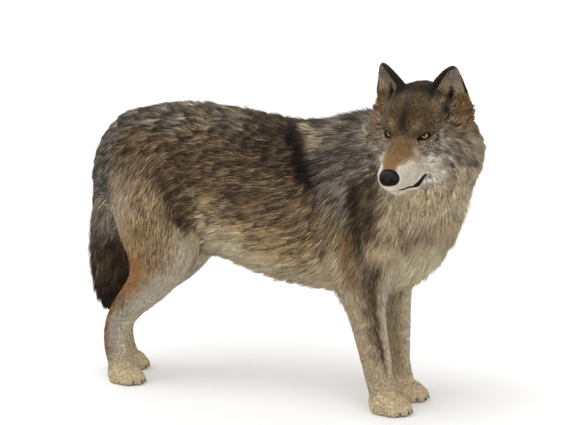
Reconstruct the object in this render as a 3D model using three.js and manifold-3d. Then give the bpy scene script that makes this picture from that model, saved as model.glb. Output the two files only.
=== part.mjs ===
// Grey wolf, life size, standing square with its head turned to its right.
// Millimetres. +X is forward, +Y the wolf's left, +Z up, soles at Z = 0.
// Every size is taken out to the tips of the coat.

import * as THREE from "three";
import { mergeVertices } from "three/addons/utils/BufferGeometryUtils.js";
import Module from "manifold-3d";

const wasm = await Module();
wasm.setup();

// ---------------------------------------------------------------- sizes

const GAP = 0.4;                  // clearance between neighbouring pieces
const FORE_X = 385;               // heel of the front paws
const HIND_X = -366;              // heel of the right hind paw
const HIND_STAGGER = 70;          // the left hind paw stands this far back
const FORE_STAGGER = 16;          // and the left front paw this far
const FOOT_Y = 76;                // from the middle plane to each paw
const ANKLE_Z = 45;               // where a leg meets its paw
const PAW_TOP_Z = 64;             // cut between paw and leg
const WRIST_Z = 150;              // cut in the front leg
const ELBOW_Z = 272;              // cut below the chest coat
const HOCK_Z = 196;               // cut in the hind leg
const STIFLE_Z = 290;             // cut below the thigh
const TOE_SPREAD = [-29, -10.5, 10.5, 29];
const TOE_REACH = [36, 52, 52, 36];
const TOE_RADIUS = [16.5, 17.5, 17.5, 16.5];
const HIND_PAW_SCALE = 0.93;
const TOE_Z = 13;                 // low enough for each toe to flatten on the floor
const CLAW_LENGTH = 12;
const CLAW_RADIUS = 3.6;

const HEAD_YAW = THREE.MathUtils.degToRad(-88);
const HEAD_PITCH = THREE.MathUtils.degToRad(-24);
const BETWEEN_EYES = new THREE.Vector3(490, -195, 727);
const EYE_RADIUS = 14;
const EYE_PLACE = [-3, 43, 0];    // ahead, to the side and above
const SOCKET_PLACE = [19, 51, 0];
const SOCKET_RADII = [22, 22, 13];
const NOSE_PLACE = [149, 0, -31];
const NOSE_RADII = [15, 22, 18];
const EAR_TURN = THREE.MathUtils.degToRad(28);
const EAR_DISH = 0.4;             // depth of the ear's hollow, part of its thickness

// grid steps for the faceted surfaces
const TRUNK_STEP = [68, 48, 48];
const NECK_STEP = [43, 43, 43];
const LEG_STEP = [22, 21, 40];
const PAW_STEP = [18, 17, 16];
const HEAD_STEP = [28, 25, 25];
const MUZZLE_STEP = [17, 14, 14];

// The head's own axes: ahead along the muzzle, to the wolf's left, and up.
const headAxes = new THREE.Matrix4()
  .makeRotationZ(HEAD_YAW)
  .multiply(new THREE.Matrix4().makeRotationY(-HEAD_PITCH))
  .setPosition(BETWEEN_EYES);
const bodyAxes = new THREE.Matrix4();

function inHead(ahead, left, up) {
  return new THREE.Vector3(ahead, left, up).applyMatrix4(headAxes);
}

function headDirection(ahead, left, up) {
  return new THREE.Vector3(ahead, left, up).transformDirection(headAxes);
}

// ------------------------------------------------- distances to soft forms

// Catmull-Rom points between rows of numbers.
function smoothRows(rows, steps) {
  const out = [];
  const at = (i) => {
    if (i < 0) return rows[0].map((v, n) => 2 * v - rows[1][n]);
    if (i >= rows.length) return rows.at(-1).map((v, n) => 2 * v - rows.at(-2)[n]);
    return rows[i];
  };
  for (let i = 0; i < rows.length - 1; i += 1) {
    const [a, b, c, d] = [at(i - 1), at(i), at(i + 1), at(i + 2)];
    for (let s = 0; s < steps; s += 1) {
      const t = s / steps;
      out.push(b.map((v, n) => THREE.MathUtils.clamp(
        0.5 * (2 * v + (c[n] - a[n]) * t + (2 * a[n] - 5 * v + 4 * c[n] - d[n]) * t * t
          + (3 * v - a[n] - 3 * c[n] + d[n]) * t * t * t), -1e4, 1e4)));
    }
  }
  out.push([...rows.at(-1)]);
  return out;
}

function sectionAxes(from, to, side) {
  const along = new THREE.Vector3(to[0] - from[0], to[1] - from[1], to[2] - from[2]);
  const length = along.length();
  along.divideScalar(length);
  const across = new THREE.Vector3().crossVectors(along, side).normalize();
  return { along, across, wide: new THREE.Vector3().crossVectors(across, along), length };
}

// A form swept through rows of x, y, z, half width along `side`, half depth.
function sweep(rows, side, blend, steps = 3) {
  const stations = smoothRows(rows, steps);
  const box = new THREE.Box3();
  const pieces = stations.slice(1).map((to, i) => {
    const from = stations[i];
    const reach = Math.max(from[3], from[4]) + 60;
    box.union(new THREE.Box3().setFromPoints([new THREE.Vector3(...from), new THREE.Vector3(...to)])
      .expandByScalar(reach));
    return { from, to, ...sectionAxes(from, to, side) };
  });
  const offset = new THREE.Vector3();
  const distance = (p) => {
    let best = Infinity;
    for (const piece of pieces) {
      offset.set(p.x - piece.from[0], p.y - piece.from[1], p.z - piece.from[2]);
      const t = THREE.MathUtils.clamp(offset.dot(piece.along) / piece.length, 0, 1);
      offset.addScaledVector(piece.along, -t * piece.length);
      const wide = piece.from[3] + t * (piece.to[3] - piece.from[3]);
      const deep = piece.from[4] + t * (piece.to[4] - piece.from[4]);
      const ratio = Math.hypot(offset.dot(piece.wide) / wide, offset.dot(piece.across) / deep,
        offset.dot(piece.along) / Math.min(wide, deep)) + 1e-9;
      best = Math.min(best, offset.length() * (1 - 1 / ratio));
    }
    return best;
  };
  return { blend, box, distance };
}

// An ellipsoid on the given axes, placed and sized along them.
function ball(axes, centre, radii, blend) {
  const inverse = axes.clone().invert();
  const reach = Math.max(...radii) + 60;
  const middle = new THREE.Vector3(...centre).applyMatrix4(axes);
  const box = new THREE.Box3().setFromCenterAndSize(middle, new THREE.Vector3().setScalar(2 * reach));
  const q = new THREE.Vector3();
  const distance = (p) => {
    q.copy(p).applyMatrix4(inverse).sub({ x: centre[0], y: centre[1], z: centre[2] });
    const ratio = Math.hypot(q.x / radii[0], q.y / radii[1], q.z / radii[2]) + 1e-9;
    return q.length() * (1 - 1 / ratio);
  };
  return { blend, box, distance };
}

function smoothUnion(a, b, blend) {
  const near = Math.max(blend - Math.abs(a - b), 0) / blend;
  return Math.min(a, b) - near * near * blend / 4;
}

function unionOf(forms) {
  return (p) => forms.reduce(
    (d, form) => (form.box.containsPoint(p) ? smoothUnion(d, form.distance(p), form.blend) : d), 1000);
}

// ------------------------------------------------------------- body forms

const SIDEWAYS = new THREE.Vector3(0, 1, 0);

// x, top of the back, underside, half width
const TRUNK_ROWS = [
  [-400, 645, 520, 55], [-370, 688, 440, 92], [-320, 722, 400, 118], [-250, 741, 370, 130],
  [-150, 744, 354, 128], [-50, 735, 342, 136], [50, 719, 312, 150], [150, 708, 293, 158],
  [240, 710, 286, 158], [330, 722, 292, 148], [400, 700, 325, 120],
];

const NECK_ROWS = [
  [220, 0, 550, 145, 152], [330, 0, 585, 155, 160], [420, -10, 614, 150, 154],
  [475, -45, 648, 140, 141], [500, -95, 680, 110, 115],
];

const TAIL_ROWS = [
  [-355, 0, 660, 56, 48], [-398, 0, 595, 62, 56], [-419, 0, 515, 66, 60], [-424, 0, 430, 70, 64],
  [-427, 0, 340, 68, 62], [-432, 0, 265, 50, 46], [-440, 0, 190, 9, 9],
];

// x, distance from the middle plane, z, half width, half depth
const FORELEG_ROWS = [
  [300, 95, 560, 60, 100], [335, 106, 460, 58, 92], [328, 98, 370, 48, 75], [332, 90, 300, 38, 56],
  [346, 83, 220, 32, 45], [362, 78, 140, 29, 40], [370, 76, 95, 28, 37], [FORE_X - 1, 76, ANKLE_Z, 31, 34],
];
const HINDLEG_ROWS = [
  [-270, 75, 600, 60, 110], [-252, 90, 500, 62, 122], [-238, 92, 410, 55, 110], [-245, 88, 335, 46, 81],
  [-279, 83, 272, 37, 56], [-333, 79, 215, 30, 42], [-370, 77, 160, 27, 37], [-379, 76, 100, 26, 34],
  [HIND_X, 76, ANKLE_Z, 28, 31],
];

function trunkForm() {
  const rows = TRUNK_ROWS.map(([x, top, under, half]) => [x, 0, (top + under) / 2, half, (top - under) / 2]);
  return sweep(rows, SIDEWAYS, 50);
}

function neckForms() {
  return [
    sweep(NECK_ROWS, new THREE.Vector3(0, 1, 0.2), 70),
    ball(bodyAxes, [380, 0, 465], [112, 118, 140], 70),
    ball(bodyAxes, [462, 5, 530], [88, 108, 112], 60),
  ];
}

// How far a left leg is set back at a height, nothing at its top.
function setBack(side, z, amount, top) {
  return side > 0 ? amount * (1 - THREE.MathUtils.smoothstep(z, 80, top)) : 0;
}

function legForm(rows, side, amount, top) {
  const placed = rows.map(([x, y, z, ...size]) => [x - setBack(side, z, amount, top), side * y, z, ...size]);
  return sweep(placed, SIDEWAYS, 50);
}

function forelegForm(side) {
  return legForm(FORELEG_ROWS, side, FORE_STAGGER, 260);
}

function hindlegForm(side) {
  return legForm(HINDLEG_ROWS, side, HIND_STAGGER, 560);
}

function toeTip(heel, side, toe, scale) {
  return [heel + 4 + TOE_REACH[toe] * scale, side * FOOT_Y + TOE_SPREAD[toe] * scale, TOE_Z];
}

function pawForms(heel, side, scale) {
  const pad = ball(bodyAxes, [heel + 2, side * FOOT_Y, 20], [40 * scale, 37 * scale, 32], 20);
  const toes = TOE_REACH.map((reach, toe) => {
    const [x, y, z] = toeTip(heel, side, toe, scale);
    const radius = TOE_RADIUS[toe] * scale;
    const inwards = TOE_SPREAD[toe] * scale;
    return sweep([
      [heel + 9, y - 0.3 * inwards, TOE_Z + 8, radius, radius * 1.25],
      [x - 0.4 * reach * scale, y - 0.05 * inwards, TOE_Z + 8, radius, radius * 1.4],
      [x, y, z, radius * 0.9, radius],
    ], SIDEWAYS, 9);
  });
  return [pad, ...toes];
}

// Half a width and half a height at places along the head, on its own axes.
function headSweep(rows, blend) {
  const placed = rows.map(([ahead, up, wide, deep]) => [...inHead(ahead, 0, up).toArray(), wide, deep]);
  return sweep(placed, headDirection(0, 1, 0), blend);
}

const MUZZLE_ROWS = [
  [-20, -22, 50, 54], [30, -36, 47, 52], [80, -47.5, 43, 49.5], [122, -42.5, 37, 36.5], [140, -41, 26, 29],
];
const JAW_ROWS = [[-40, -84, 50, 34], [20, -94, 46, 24], [76, -92, 33, 17], [116, -84, 22, 13.5]];

function headForms() {
  const forms = [
    ball(headAxes, [-82, 0, 14], [86, 72, 61], 50),
    ball(headAxes, [-138, 0, 4], [50, 70, 48], 40),
    ball(headAxes, [-24, 0, 16], [50, 56, 44], 30),
    headSweep(MUZZLE_ROWS, 20),
    headSweep(JAW_ROWS, 12),
  ];
  for (const side of [1, -1]) {
    forms.push(ball(headAxes, [38, side * 31, -87], [56, 21, 24], 20));
    forms.push(ball(headAxes, [-36, side * 40, -45], [64, 36, 58], 30));
    forms.push(ball(headAxes, [-24, side * 48, -94], [52, 36, 36], 30));
    forms.push(ball(headAxes, [-98, side * 87, -78], [60, 58, 86], 50));
    forms.push(ball(headAxes, [-142, side * 80, -12], [34, 30, 48], 30));
  }
  return forms;
}

const bodyForms = [trunkForm(), ...neckForms()];
const headOnly = headForms();
for (const side of [1, -1]) {
  bodyForms.push(forelegForm(side), hindlegForm(side));
}
const wholeBody = unionOf([...bodyForms, ...headOnly]);

// --------------------------------------------------- surfaces and solids

// Surface nets: one vertex in each grid cell that the surface crosses. What
// runs past the grid's edge is closed there.
function polygonise(distance, axes, low, high, step) {
  const count = step.map((size, i) => Math.ceil((high[i] - low[i]) / size) + 1);
  const index = (i, j, k) => (i * count[1] + j) * count[2] + k;
  const value = new Float64Array(count[0] * count[1] * count[2]);
  const p = new THREE.Vector3();
  const local = (i, j, k) => p.set(low[0] + i * step[0], low[1] + j * step[1], low[2] + k * step[2]);
  for (let i = 0; i < count[0]; i += 1) {
    for (let j = 0; j < count[1]; j += 1) {
      for (let k = 0; k < count[2]; k += 1) {
        const d = distance(local(i, j, k).applyMatrix4(axes));
        const onEdge = [i, j, k].some((n, axis) => n === 0 || n === count[axis] - 1);
        value[index(i, j, k)] = onEdge ? Math.max(d, 1) : d;
      }
    }
  }
  const positions = [];
  const cell = new Map();
  const corners = [0, 1, 2, 3, 4, 5, 6, 7].map((n) => [n >> 2, (n >> 1) & 1, n & 1]);
  for (let i = 0; i < count[0] - 1; i += 1) {
    for (let j = 0; j < count[1] - 1; j += 1) {
      for (let k = 0; k < count[2] - 1; k += 1) {
        const at = corners.map(([a, b, c]) => value[index(i + a, j + b, k + c)]);
        const sum = [0, 0, 0];
        let crossings = 0;
        for (let a = 0; a < 8; a += 1) {
          for (const bit of [1, 2, 4]) {
            const b = a | bit;
            if (a !== b && (at[a] < 0) !== (at[b] < 0)) {
              const t = at[a] / (at[a] - at[b]);
              crossings += 1;
              sum.forEach((_, n) => { sum[n] += corners[a][n] + t * (corners[b][n] - corners[a][n]); });
            }
          }
        }
        if (crossings > 0) {
          cell.set(index(i, j, k), positions.length / 3);
          local(i + sum[0] / crossings, j + sum[1] / crossings, k + sum[2] / crossings).applyMatrix4(axes);
          positions.push(p.x, p.y, p.z);
        }
      }
    }
  }
  const faces = [];
  const place = (n) => new THREE.Vector3().fromArray(positions, 3 * n);
  const addQuad = (a, b, c, d) => {
    if (place(a).distanceTo(place(c)) < place(b).distanceTo(place(d))) {
      faces.push(a, b, c, a, c, d);
    } else {
      faces.push(a, b, d, b, c, d);
    }
  };
  for (let i = 0; i < count[0] - 1; i += 1) {
    for (let j = 0; j < count[1] - 1; j += 1) {
      for (let k = 0; k < count[2] - 1; k += 1) {
        const inside = value[index(i, j, k)] < 0;
        for (let axis = 0; axis < 3; axis += 1) {
          const next = [i, j, k];
          next[axis] += 1;
          if (inside === value[index(...next)] < 0) continue;
          const u = (axis + 1) % 3;
          const v = (axis + 2) % 3;
          const ring = [[1, 1], [0, 1], [0, 0], [1, 0]].map(([du, dv]) => {
            const c = [i, j, k];
            c[u] -= du;
            c[v] -= dv;
            return cell.get(index(...c));
          });
          addQuad(...(inside ? ring : ring.reverse()));
        }
      }
    }
  }
  const geometry = new THREE.BufferGeometry();
  geometry.setAttribute("position", new THREE.Float32BufferAttribute(positions, 3));
  geometry.setIndex(faces);
  return geometry;
}

function toSolid(geometry) {
  const bare = geometry.clone();
  for (const name of Object.keys(bare.attributes)) {
    if (name !== "position") bare.deleteAttribute(name);
  }
  const merged = mergeVertices(bare, 1e-3);
  return new wasm.Manifold(new wasm.Mesh({
    numProp: 3,
    vertProperties: new Float32Array(merged.attributes.position.array),
    triVerts: new Uint32Array(merged.index.array),
  }));
}

function surfaceSolid(distance, axes, low, high, step) {
  return toSolid(polygonise(distance, axes, low, high, step));
}

const FAR = 2000;

// A plane's solid side: `towards` points into it, `grow` moves the plane out.
function halfSpace({ point, towards }, grow = 0) {
  const geometry = new THREE.BoxGeometry(FAR, FAR, FAR).translate(0, 0, FAR / 2 - grow);
  const turn = new THREE.Quaternion().setFromUnitVectors(
    new THREE.Vector3(0, 0, 1), towards.clone().normalize());
  geometry.applyQuaternion(turn).translate(point.x, point.y, point.z);
  return toSolid(geometry);
}

function region(planes, grow = 0) {
  return planes.map((plane) => halfSpace(plane, grow)).reduce((a, b) => a.intersect(b));
}

function plane(point, towards) {
  return { point: new THREE.Vector3(...point), towards: new THREE.Vector3(...towards) };
}

function headPlane(point, towards) {
  return { point: inHead(...point), towards: headDirection(...towards) };
}

// A closed tube whose rings are sections along the stations.
function loft(stations, side, section, grow = 0) {
  const rings = stations.map((station, i) => {
    const from = stations[Math.max(i - 1, 0)];
    const to = stations[Math.min(i + 1, stations.length - 1)];
    const { along, wide, across } = sectionAxes(from, to, side);
    const past = i === 0 ? -grow : grow * Number(i === stations.length - 1);
    const middle = new THREE.Vector3(...station).addScaledVector(along, past);
    return section(station[3] + grow, station[4] + grow).map(([u, v]) =>
      middle.clone().addScaledVector(wide, u).addScaledVector(across, v));
  });
  const sides = rings[0].length;
  const points = rings.flat();
  const faces = [];
  for (let i = 0; i < rings.length - 1; i += 1) {
    for (let j = 0; j < sides; j += 1) {
      const a = i * sides + j;
      const b = i * sides + (j + 1) % sides;
      faces.push(a, b, b + sides, a, b + sides, a + sides);
    }
  }
  for (const [ring, flip] of [[0, true], [rings.length - 1, false]]) {
    const middle = rings[ring].reduce((sum, q) => sum.add(q), new THREE.Vector3()).divideScalar(sides);
    points.push(middle);
    for (let j = 0; j < sides; j += 1) {
      const a = ring * sides + j;
      const b = ring * sides + (j + 1) % sides;
      faces.push(...(flip ? [b, a, points.length - 1] : [a, b, points.length - 1]));
    }
  }
  const geometry = new THREE.BufferGeometry().setFromPoints(points);
  geometry.setIndex(faces);
  const solid = toSolid(geometry);
  return solid.volume() > 0 ? solid : toSolid(flipped(geometry));
}

function flipped(geometry) {
  const turned = geometry.clone();
  turned.setIndex([...geometry.index.array].reverse());
  return turned;
}

function ellipse(sides) {
  return (wide, deep) => Array.from({ length: sides }, (_, n) => {
    const angle = (2 * Math.PI * n) / sides;
    return [wide * Math.cos(angle), deep * Math.sin(angle)];
  });
}

// ------------------------------------------------------------------ cuts

const neckPlane = plane([235, 0, 735], [0.806, 0, 0.592]);
const forelegPlanes = [plane([0, 0, ELBOW_Z], [0, 0, -1]), plane([0, 0, 0], [1, 0, 0])];
const thighPlanes = [plane([-150, 0, 330], [-0.43, 0, -0.9]), plane([-110, 0, 0], [-1, 0, 0])];
const headPlanes = [
  headPlane([-135, 0, 80], [0.91, 0, 0.415]),
  headPlane([0, 124, 0], [0, -1, 0]),
  headPlane([0, -112, 0], [0, 1, 0]),
  headPlane([0, 0, -150], [0, 0, 1]),
];
const mouth = [84, 0, -90];
const muzzlePlanes = [headPlane([34, 0, 0], [1, 0, 0.15]), headPlane(mouth, [-0.286, 0, 0.958])];
const jawPlanes = [
  headPlane([14, 0, 0], [1, 0, 0]),
  headPlane(mouth, [0.286, 0, -0.958]),
  headPlane([0, 50, 0], [0, -1, 0]),
  headPlane([0, -50, 0], [0, 1, 0]),
];
const floorPlane = plane([0, 0, 0], [0, 0, 1]);

function between(low, high) {
  return [plane([0, 0, low], [0, 0, 1]), plane([0, 0, high], [0, 0, -1])];
}

// ---------------------------------------------------------------- pieces

const coat = { roughness: 0.9, metalness: 0 };
const materials = {
  back: () => new THREE.MeshStandardMaterial({ color: 0x7a6f60, ...coat }),
  flank: () => new THREE.MeshStandardMaterial({ color: 0x9c8c74, ...coat }),
  leg: () => new THREE.MeshStandardMaterial({ color: 0xb9a789, ...coat }),
  face: () => new THREE.MeshStandardMaterial({ color: 0xa7977f, ...coat }),
  tail: () => new THREE.MeshStandardMaterial({ color: 0x5b5146, ...coat }),
  nose: () => new THREE.MeshStandardMaterial({ color: 0x1c1a1a, roughness: 0.45, metalness: 0 }),
  eye: () => new THREE.MeshStandardMaterial({ color: 0xb58f45, roughness: 0.1, metalness: 0 }),
  claw: () => new THREE.MeshStandardMaterial({ color: 0x3b3430, roughness: 0.4, metalness: 0 }),
};

const wolf = new THREE.Group();

function addPiece(name, solid, material) {
  const { vertProperties, triVerts } = solid.getMesh();
  const geometry = new THREE.BufferGeometry();
  geometry.setAttribute("position", new THREE.BufferAttribute(new Float32Array(vertProperties), 3));
  geometry.setIndex(new THREE.BufferAttribute(new Uint32Array(triVerts), 1));
  geometry.computeVertexNormals();
  const mesh = new THREE.Mesh(geometry, material());
  mesh.name = name;
  wolf.add(mesh);
}

const SIDES = [["left", 1], ["right", -1]];

function tailSolid(grow) {
  return loft(smoothRows(TAIL_ROWS, 2), SIDEWAYS, ellipse(12), grow);
}

function addTrunkAndNeck() {
  const low = [-520, -260, ELBOW_Z - 30];
  const high = [640, 260, 860];
  const trunk = surfaceSolid(wholeBody, bodyAxes, low, high, TRUNK_STEP)
    .subtract(region([neckPlane], GAP))
    .subtract(region(forelegPlanes, GAP))
    .subtract(region(thighPlanes, GAP))
    .subtract(tailSolid(GAP));
  addPiece("trunk", trunk, materials.back);
  const neck = surfaceSolid(wholeBody, bodyAxes, [180, -320, 200], [700, 260, 1000], NECK_STEP)
    .intersect(region([neckPlane]))
    .subtract(region(forelegPlanes, GAP))
    .subtract(region(headPlanes, GAP))
    .subtract(earSolid(1, 0, 2 * GAP))
    .subtract(earSolid(-1, 0, 2 * GAP));
  addPiece("neck", neck, materials.flank);
  addPiece("tail", tailSolid(0), materials.tail);
}

function earStations(side) {
  // ahead, to the side, up, half width, half thickness
  return [
    [-110, 72, 5, 54, 36], [-112, 71, 42, 50, 30], [-117, 75, 68, 41, 21],
    [-121, 82, 92, 28, 13], [-125, 88.5, 108, 15, 8], [-127, 92, 116.5, 3.5, 3],
  ].map(([ahead, left, up, ...size]) => [...inHead(ahead, side * left, up).toArray(), ...size]);
}

// A leaf, round behind and dished before.
function leafSection(wide, deep, dish) {
  const points = [];
  for (let n = 0; n <= 6; n += 1) {
    const angle = (Math.PI * n) / 6;
    points.push([wide * Math.cos(angle), -deep * Math.sin(angle)]);
  }
  for (let n = 5; n >= 1; n -= 1) {
    const across = Math.cos((Math.PI * n) / 6);
    points.push([wide * across, deep * (0.12 - dish * (1 - across * across))]);
  }
  return points;
}

function earSolid(side, dish, grow = 0) {
  const wideAxis = headDirection(-side * Math.sin(EAR_TURN), Math.cos(EAR_TURN), 0);
  return loft(earStations(side), wideAxis, (wide, deep) => leafSection(wide, deep, dish), grow);
}

// An ellipsoid on the head's axes, as a solid.
function headEgg([ahead, left, up], radii, grow = 0) {
  const geometry = new THREE.SphereGeometry(1, 12, 8).rotateX(Math.PI / 2);
  geometry.scale(...radii.map((radius) => radius + grow)).translate(ahead, left, up);
  return toSolid(geometry.applyMatrix4(headAxes));
}

function eyeBall(side, grow) {
  const [ahead, left, up] = EYE_PLACE;
  return headEgg([ahead, side * left, up], [EYE_RADIUS, EYE_RADIUS, EYE_RADIUS], grow);
}

function socket(side) {
  const [ahead, left, up] = SOCKET_PLACE;
  return headEgg([ahead, side * left, up], SOCKET_RADII);
}

function addHead() {
  let head = surfaceSolid(wholeBody, headAxes, [-230, -190, -230], [200, 190, 140], HEAD_STEP)
    .intersect(region(headPlanes))
    .subtract(region(muzzlePlanes, GAP))
    .subtract(region(jawPlanes, GAP));
  for (const [name, side] of SIDES) {
    const ear = earSolid(side, EAR_DISH);
    head = head.subtract(socket(side)).subtract(earSolid(side, 0, 2 * GAP)).subtract(eyeBall(side, GAP));
    addPiece(`ear_${name}`, ear, materials.tail);
    addPiece(`eye_${name}`, eyeBall(side, 0), materials.eye);
  }
  addPiece("head", head, materials.face);
  const front = surfaceSolid(wholeBody, headAxes, [-20, -80, -150], [190, 80, 60], MUZZLE_STEP)
    .intersect(region(headPlanes))
    .subtract(headEgg(NOSE_PLACE, NOSE_RADII, GAP));
  addPiece("muzzle", front.intersect(region(muzzlePlanes)), materials.leg);
  addPiece("lower_jaw", front.intersect(region(jawPlanes, -GAP)), materials.leg);
  addPiece("nose", headEgg(NOSE_PLACE, NOSE_RADII), materials.nose);
}

function legSolid(forms, x, side, top) {
  const low = [x - 230, side > 0 ? -10 : -200, -30];
  const high = [x + 200, side > 0 ? 200 : 10, top + 90];
  return surfaceSolid(unionOf(forms), bodyAxes, low, high, LEG_STEP);
}

function clawSolid(tip, scale, grow) {
  const [x, y, z] = tip;
  const length = CLAW_LENGTH * scale;
  const radius = CLAW_RADIUS * scale;
  const stations = [
    [x + 6, y, z + 4, radius, radius], [x + 6 + 0.6 * length, y, z, 0.75 * radius, 0.8 * radius],
    [x + 6 + length, y, z - 8, 0.8, 0.8],
  ];
  return loft(stations, SIDEWAYS, ellipse(5), grow);
}

function addPaw(name, heel, side, scale, legForm) {
  const forms = unionOf([legForm, ...pawForms(heel, side, scale)]);
  const low = [heel - 62, side * FOOT_Y - 62, -22];
  const high = [heel + 92, side * FOOT_Y + 62, 98];
  let paw = surfaceSolid(forms, bodyAxes, low, high, PAW_STEP)
    .intersect(region([floorPlane, plane([0, 0, PAW_TOP_Z], [0, 0, -1])]));
  TOE_REACH.forEach((_, toe) => {
    const tip = toeTip(heel, side, toe, scale);
    paw = paw.subtract(clawSolid(tip, scale, GAP));
    addPiece(`claw_${name}_${toe + 1}`, clawSolid(tip, scale, 0), materials.claw);
  });
  addPiece(`paw_${name}`, paw, materials.leg);
}

function addLegs() {
  const trunk = trunkForm();
  const chest = neckForms();
  for (const [name, side] of SIDES) {
    const fore = forelegForm(side);
    const foreSolid = legSolid([trunk, ...chest, fore], FORE_X - 40, side, ELBOW_Z);
    addPiece(`forearm_${name}`, foreSolid.intersect(region(between(WRIST_Z + GAP, ELBOW_Z))), materials.leg);
    addPiece(`pastern_${name}`, foreSolid.intersect(region(between(PAW_TOP_Z + GAP, WRIST_Z))), materials.leg);
    addPaw(`fore_${name}`, FORE_X - setBack(side, 0, FORE_STAGGER, 260), side, 1, fore);

    const hind = hindlegForm(side);
    const heel = HIND_X - setBack(side, 0, HIND_STAGGER, 560);
    const hindSolid = legSolid([trunk, hind], heel + 60, side, 470)
      .intersect(region([plane([0, side * GAP / 2, 0], [0, side, 0])]))
      .intersect(region(thighPlanes))
      .subtract(tailSolid(GAP));
    addPiece(`thigh_${name}`, hindSolid.intersect(region(between(STIFLE_Z + GAP, 600))), materials.flank);
    addPiece(`shank_${name}`, hindSolid.intersect(region(between(HOCK_Z + GAP, STIFLE_Z))), materials.leg);
    addPiece(`metatarsus_${name}`, hindSolid.intersect(region(between(PAW_TOP_Z + GAP, HOCK_Z))), materials.leg);
    addPaw(`hind_${name}`, heel, side, HIND_PAW_SCALE, hind);
  }
}

addTrunkAndNeck();
addHead();
addLegs();

// The origin is under the middle of the whole model's box.
const middle = new THREE.Box3().setFromObject(wolf).getCenter(new THREE.Vector3());
wolf.position.set(-middle.x, -middle.y, 0);

export default wolf;
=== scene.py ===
# Grey wolf, life size: skin, coat, eyes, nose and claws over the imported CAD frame.
from concurrent.futures import ThreadPoolExecutor
from functools import lru_cache

import bpy
import numpy as np
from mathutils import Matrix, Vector
from mathutils.bvhtree import BVHTree
from mathutils.kdtree import KDTree


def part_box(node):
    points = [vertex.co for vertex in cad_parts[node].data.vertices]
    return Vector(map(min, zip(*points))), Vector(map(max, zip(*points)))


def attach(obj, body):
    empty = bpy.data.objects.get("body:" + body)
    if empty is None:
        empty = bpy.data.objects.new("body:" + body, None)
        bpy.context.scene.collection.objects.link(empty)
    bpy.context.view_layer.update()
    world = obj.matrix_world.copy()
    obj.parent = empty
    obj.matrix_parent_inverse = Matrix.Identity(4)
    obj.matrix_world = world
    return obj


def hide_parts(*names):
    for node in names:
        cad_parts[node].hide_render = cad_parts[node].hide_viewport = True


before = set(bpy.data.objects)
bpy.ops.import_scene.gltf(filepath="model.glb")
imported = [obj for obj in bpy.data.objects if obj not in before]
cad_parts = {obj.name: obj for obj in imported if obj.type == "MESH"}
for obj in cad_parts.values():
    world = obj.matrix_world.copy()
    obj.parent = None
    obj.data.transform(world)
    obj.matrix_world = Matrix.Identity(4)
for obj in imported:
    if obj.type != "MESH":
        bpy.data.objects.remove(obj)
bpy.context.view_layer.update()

bl_info = {
    "name": "Standing grey wolf",
    "version": (1, 0, 0),
    "blender": (4, 5, 0),
    "location": "3D View > Sidebar > Wolf",
    "description": "Builds the skin, coat, eyes, nose and stage of a standing grey wolf",
    "category": "Add Mesh",
}

SEED = 11
REACH = 0.055                    # beyond this distance a form is left out of account
FAR = 9.0                        # farther off than any part of the body
THINNEST = 0.003                 # least half width of a swept form
UP = np.array([0.0, 0.0, 1.0])
LEFTWARD = np.array([0.0, 1.0, 0.0])

# ------------------------------------------------------------ head's own axes

HEAD_YAW = np.radians(-88)
HEAD_PITCH = np.radians(-24)
BETWEEN_EYES = np.array([0.490, -0.195, 0.727])
EYE = np.array([-0.003, 0.043, 0.0])     # ahead, to the side and above
EYE_RADIUS = 0.0140
NOSE = np.array([0.149, 0.0, -0.031])
NOSE_RADII = np.array([0.015, 0.022, 0.018])


def head_axes():
    """The head's directions ahead, to its left and up, as rows."""
    cy, sy, cp, sp = np.cos(HEAD_YAW), np.sin(HEAD_YAW), np.cos(HEAD_PITCH), np.sin(HEAD_PITCH)
    ahead = np.array([cy * cp, sy * cp, sp])
    left = np.array([-sy, cy, 0.0])
    return np.array([ahead, left, np.cross(ahead, left)])


HEAD = head_axes()


def in_head(place):
    """Body coordinates of a point given ahead, left and up of the eyes."""
    return BETWEEN_EYES + np.asarray(place, float) @ HEAD


def from_head(points):
    return (points - BETWEEN_EYES) @ HEAD.T


def smoothstep(low, high, value):
    t = np.clip((value - low) / (high - low), 0, 1)
    return t * t * (3 - 2 * t)


def unit(v):
    return v / (np.linalg.norm(v, axis=-1, keepdims=True) + 1e-12)


# ------------------------------------------------------- forms of the body

def smooth_rows(rows, steps):
    """Catmull-Rom points between rows of numbers."""
    r = np.asarray(rows, float)
    r = np.vstack([2 * r[0] - r[1], r, 2 * r[-1] - r[-2]])
    t = (np.arange(steps) / steps)[:, None]
    out = []
    for a, b, c, d in zip(r[:-3], r[1:-2], r[2:-1], r[3:]):
        bend = (2 * a - 5 * b + 4 * c - d) * t ** 2 + (3 * b - a - 3 * c + d) * t ** 3
        out.append(0.5 * (2 * b + (c - a) * t + bend))
    return np.vstack(out + [r[-2:-1]])


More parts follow.
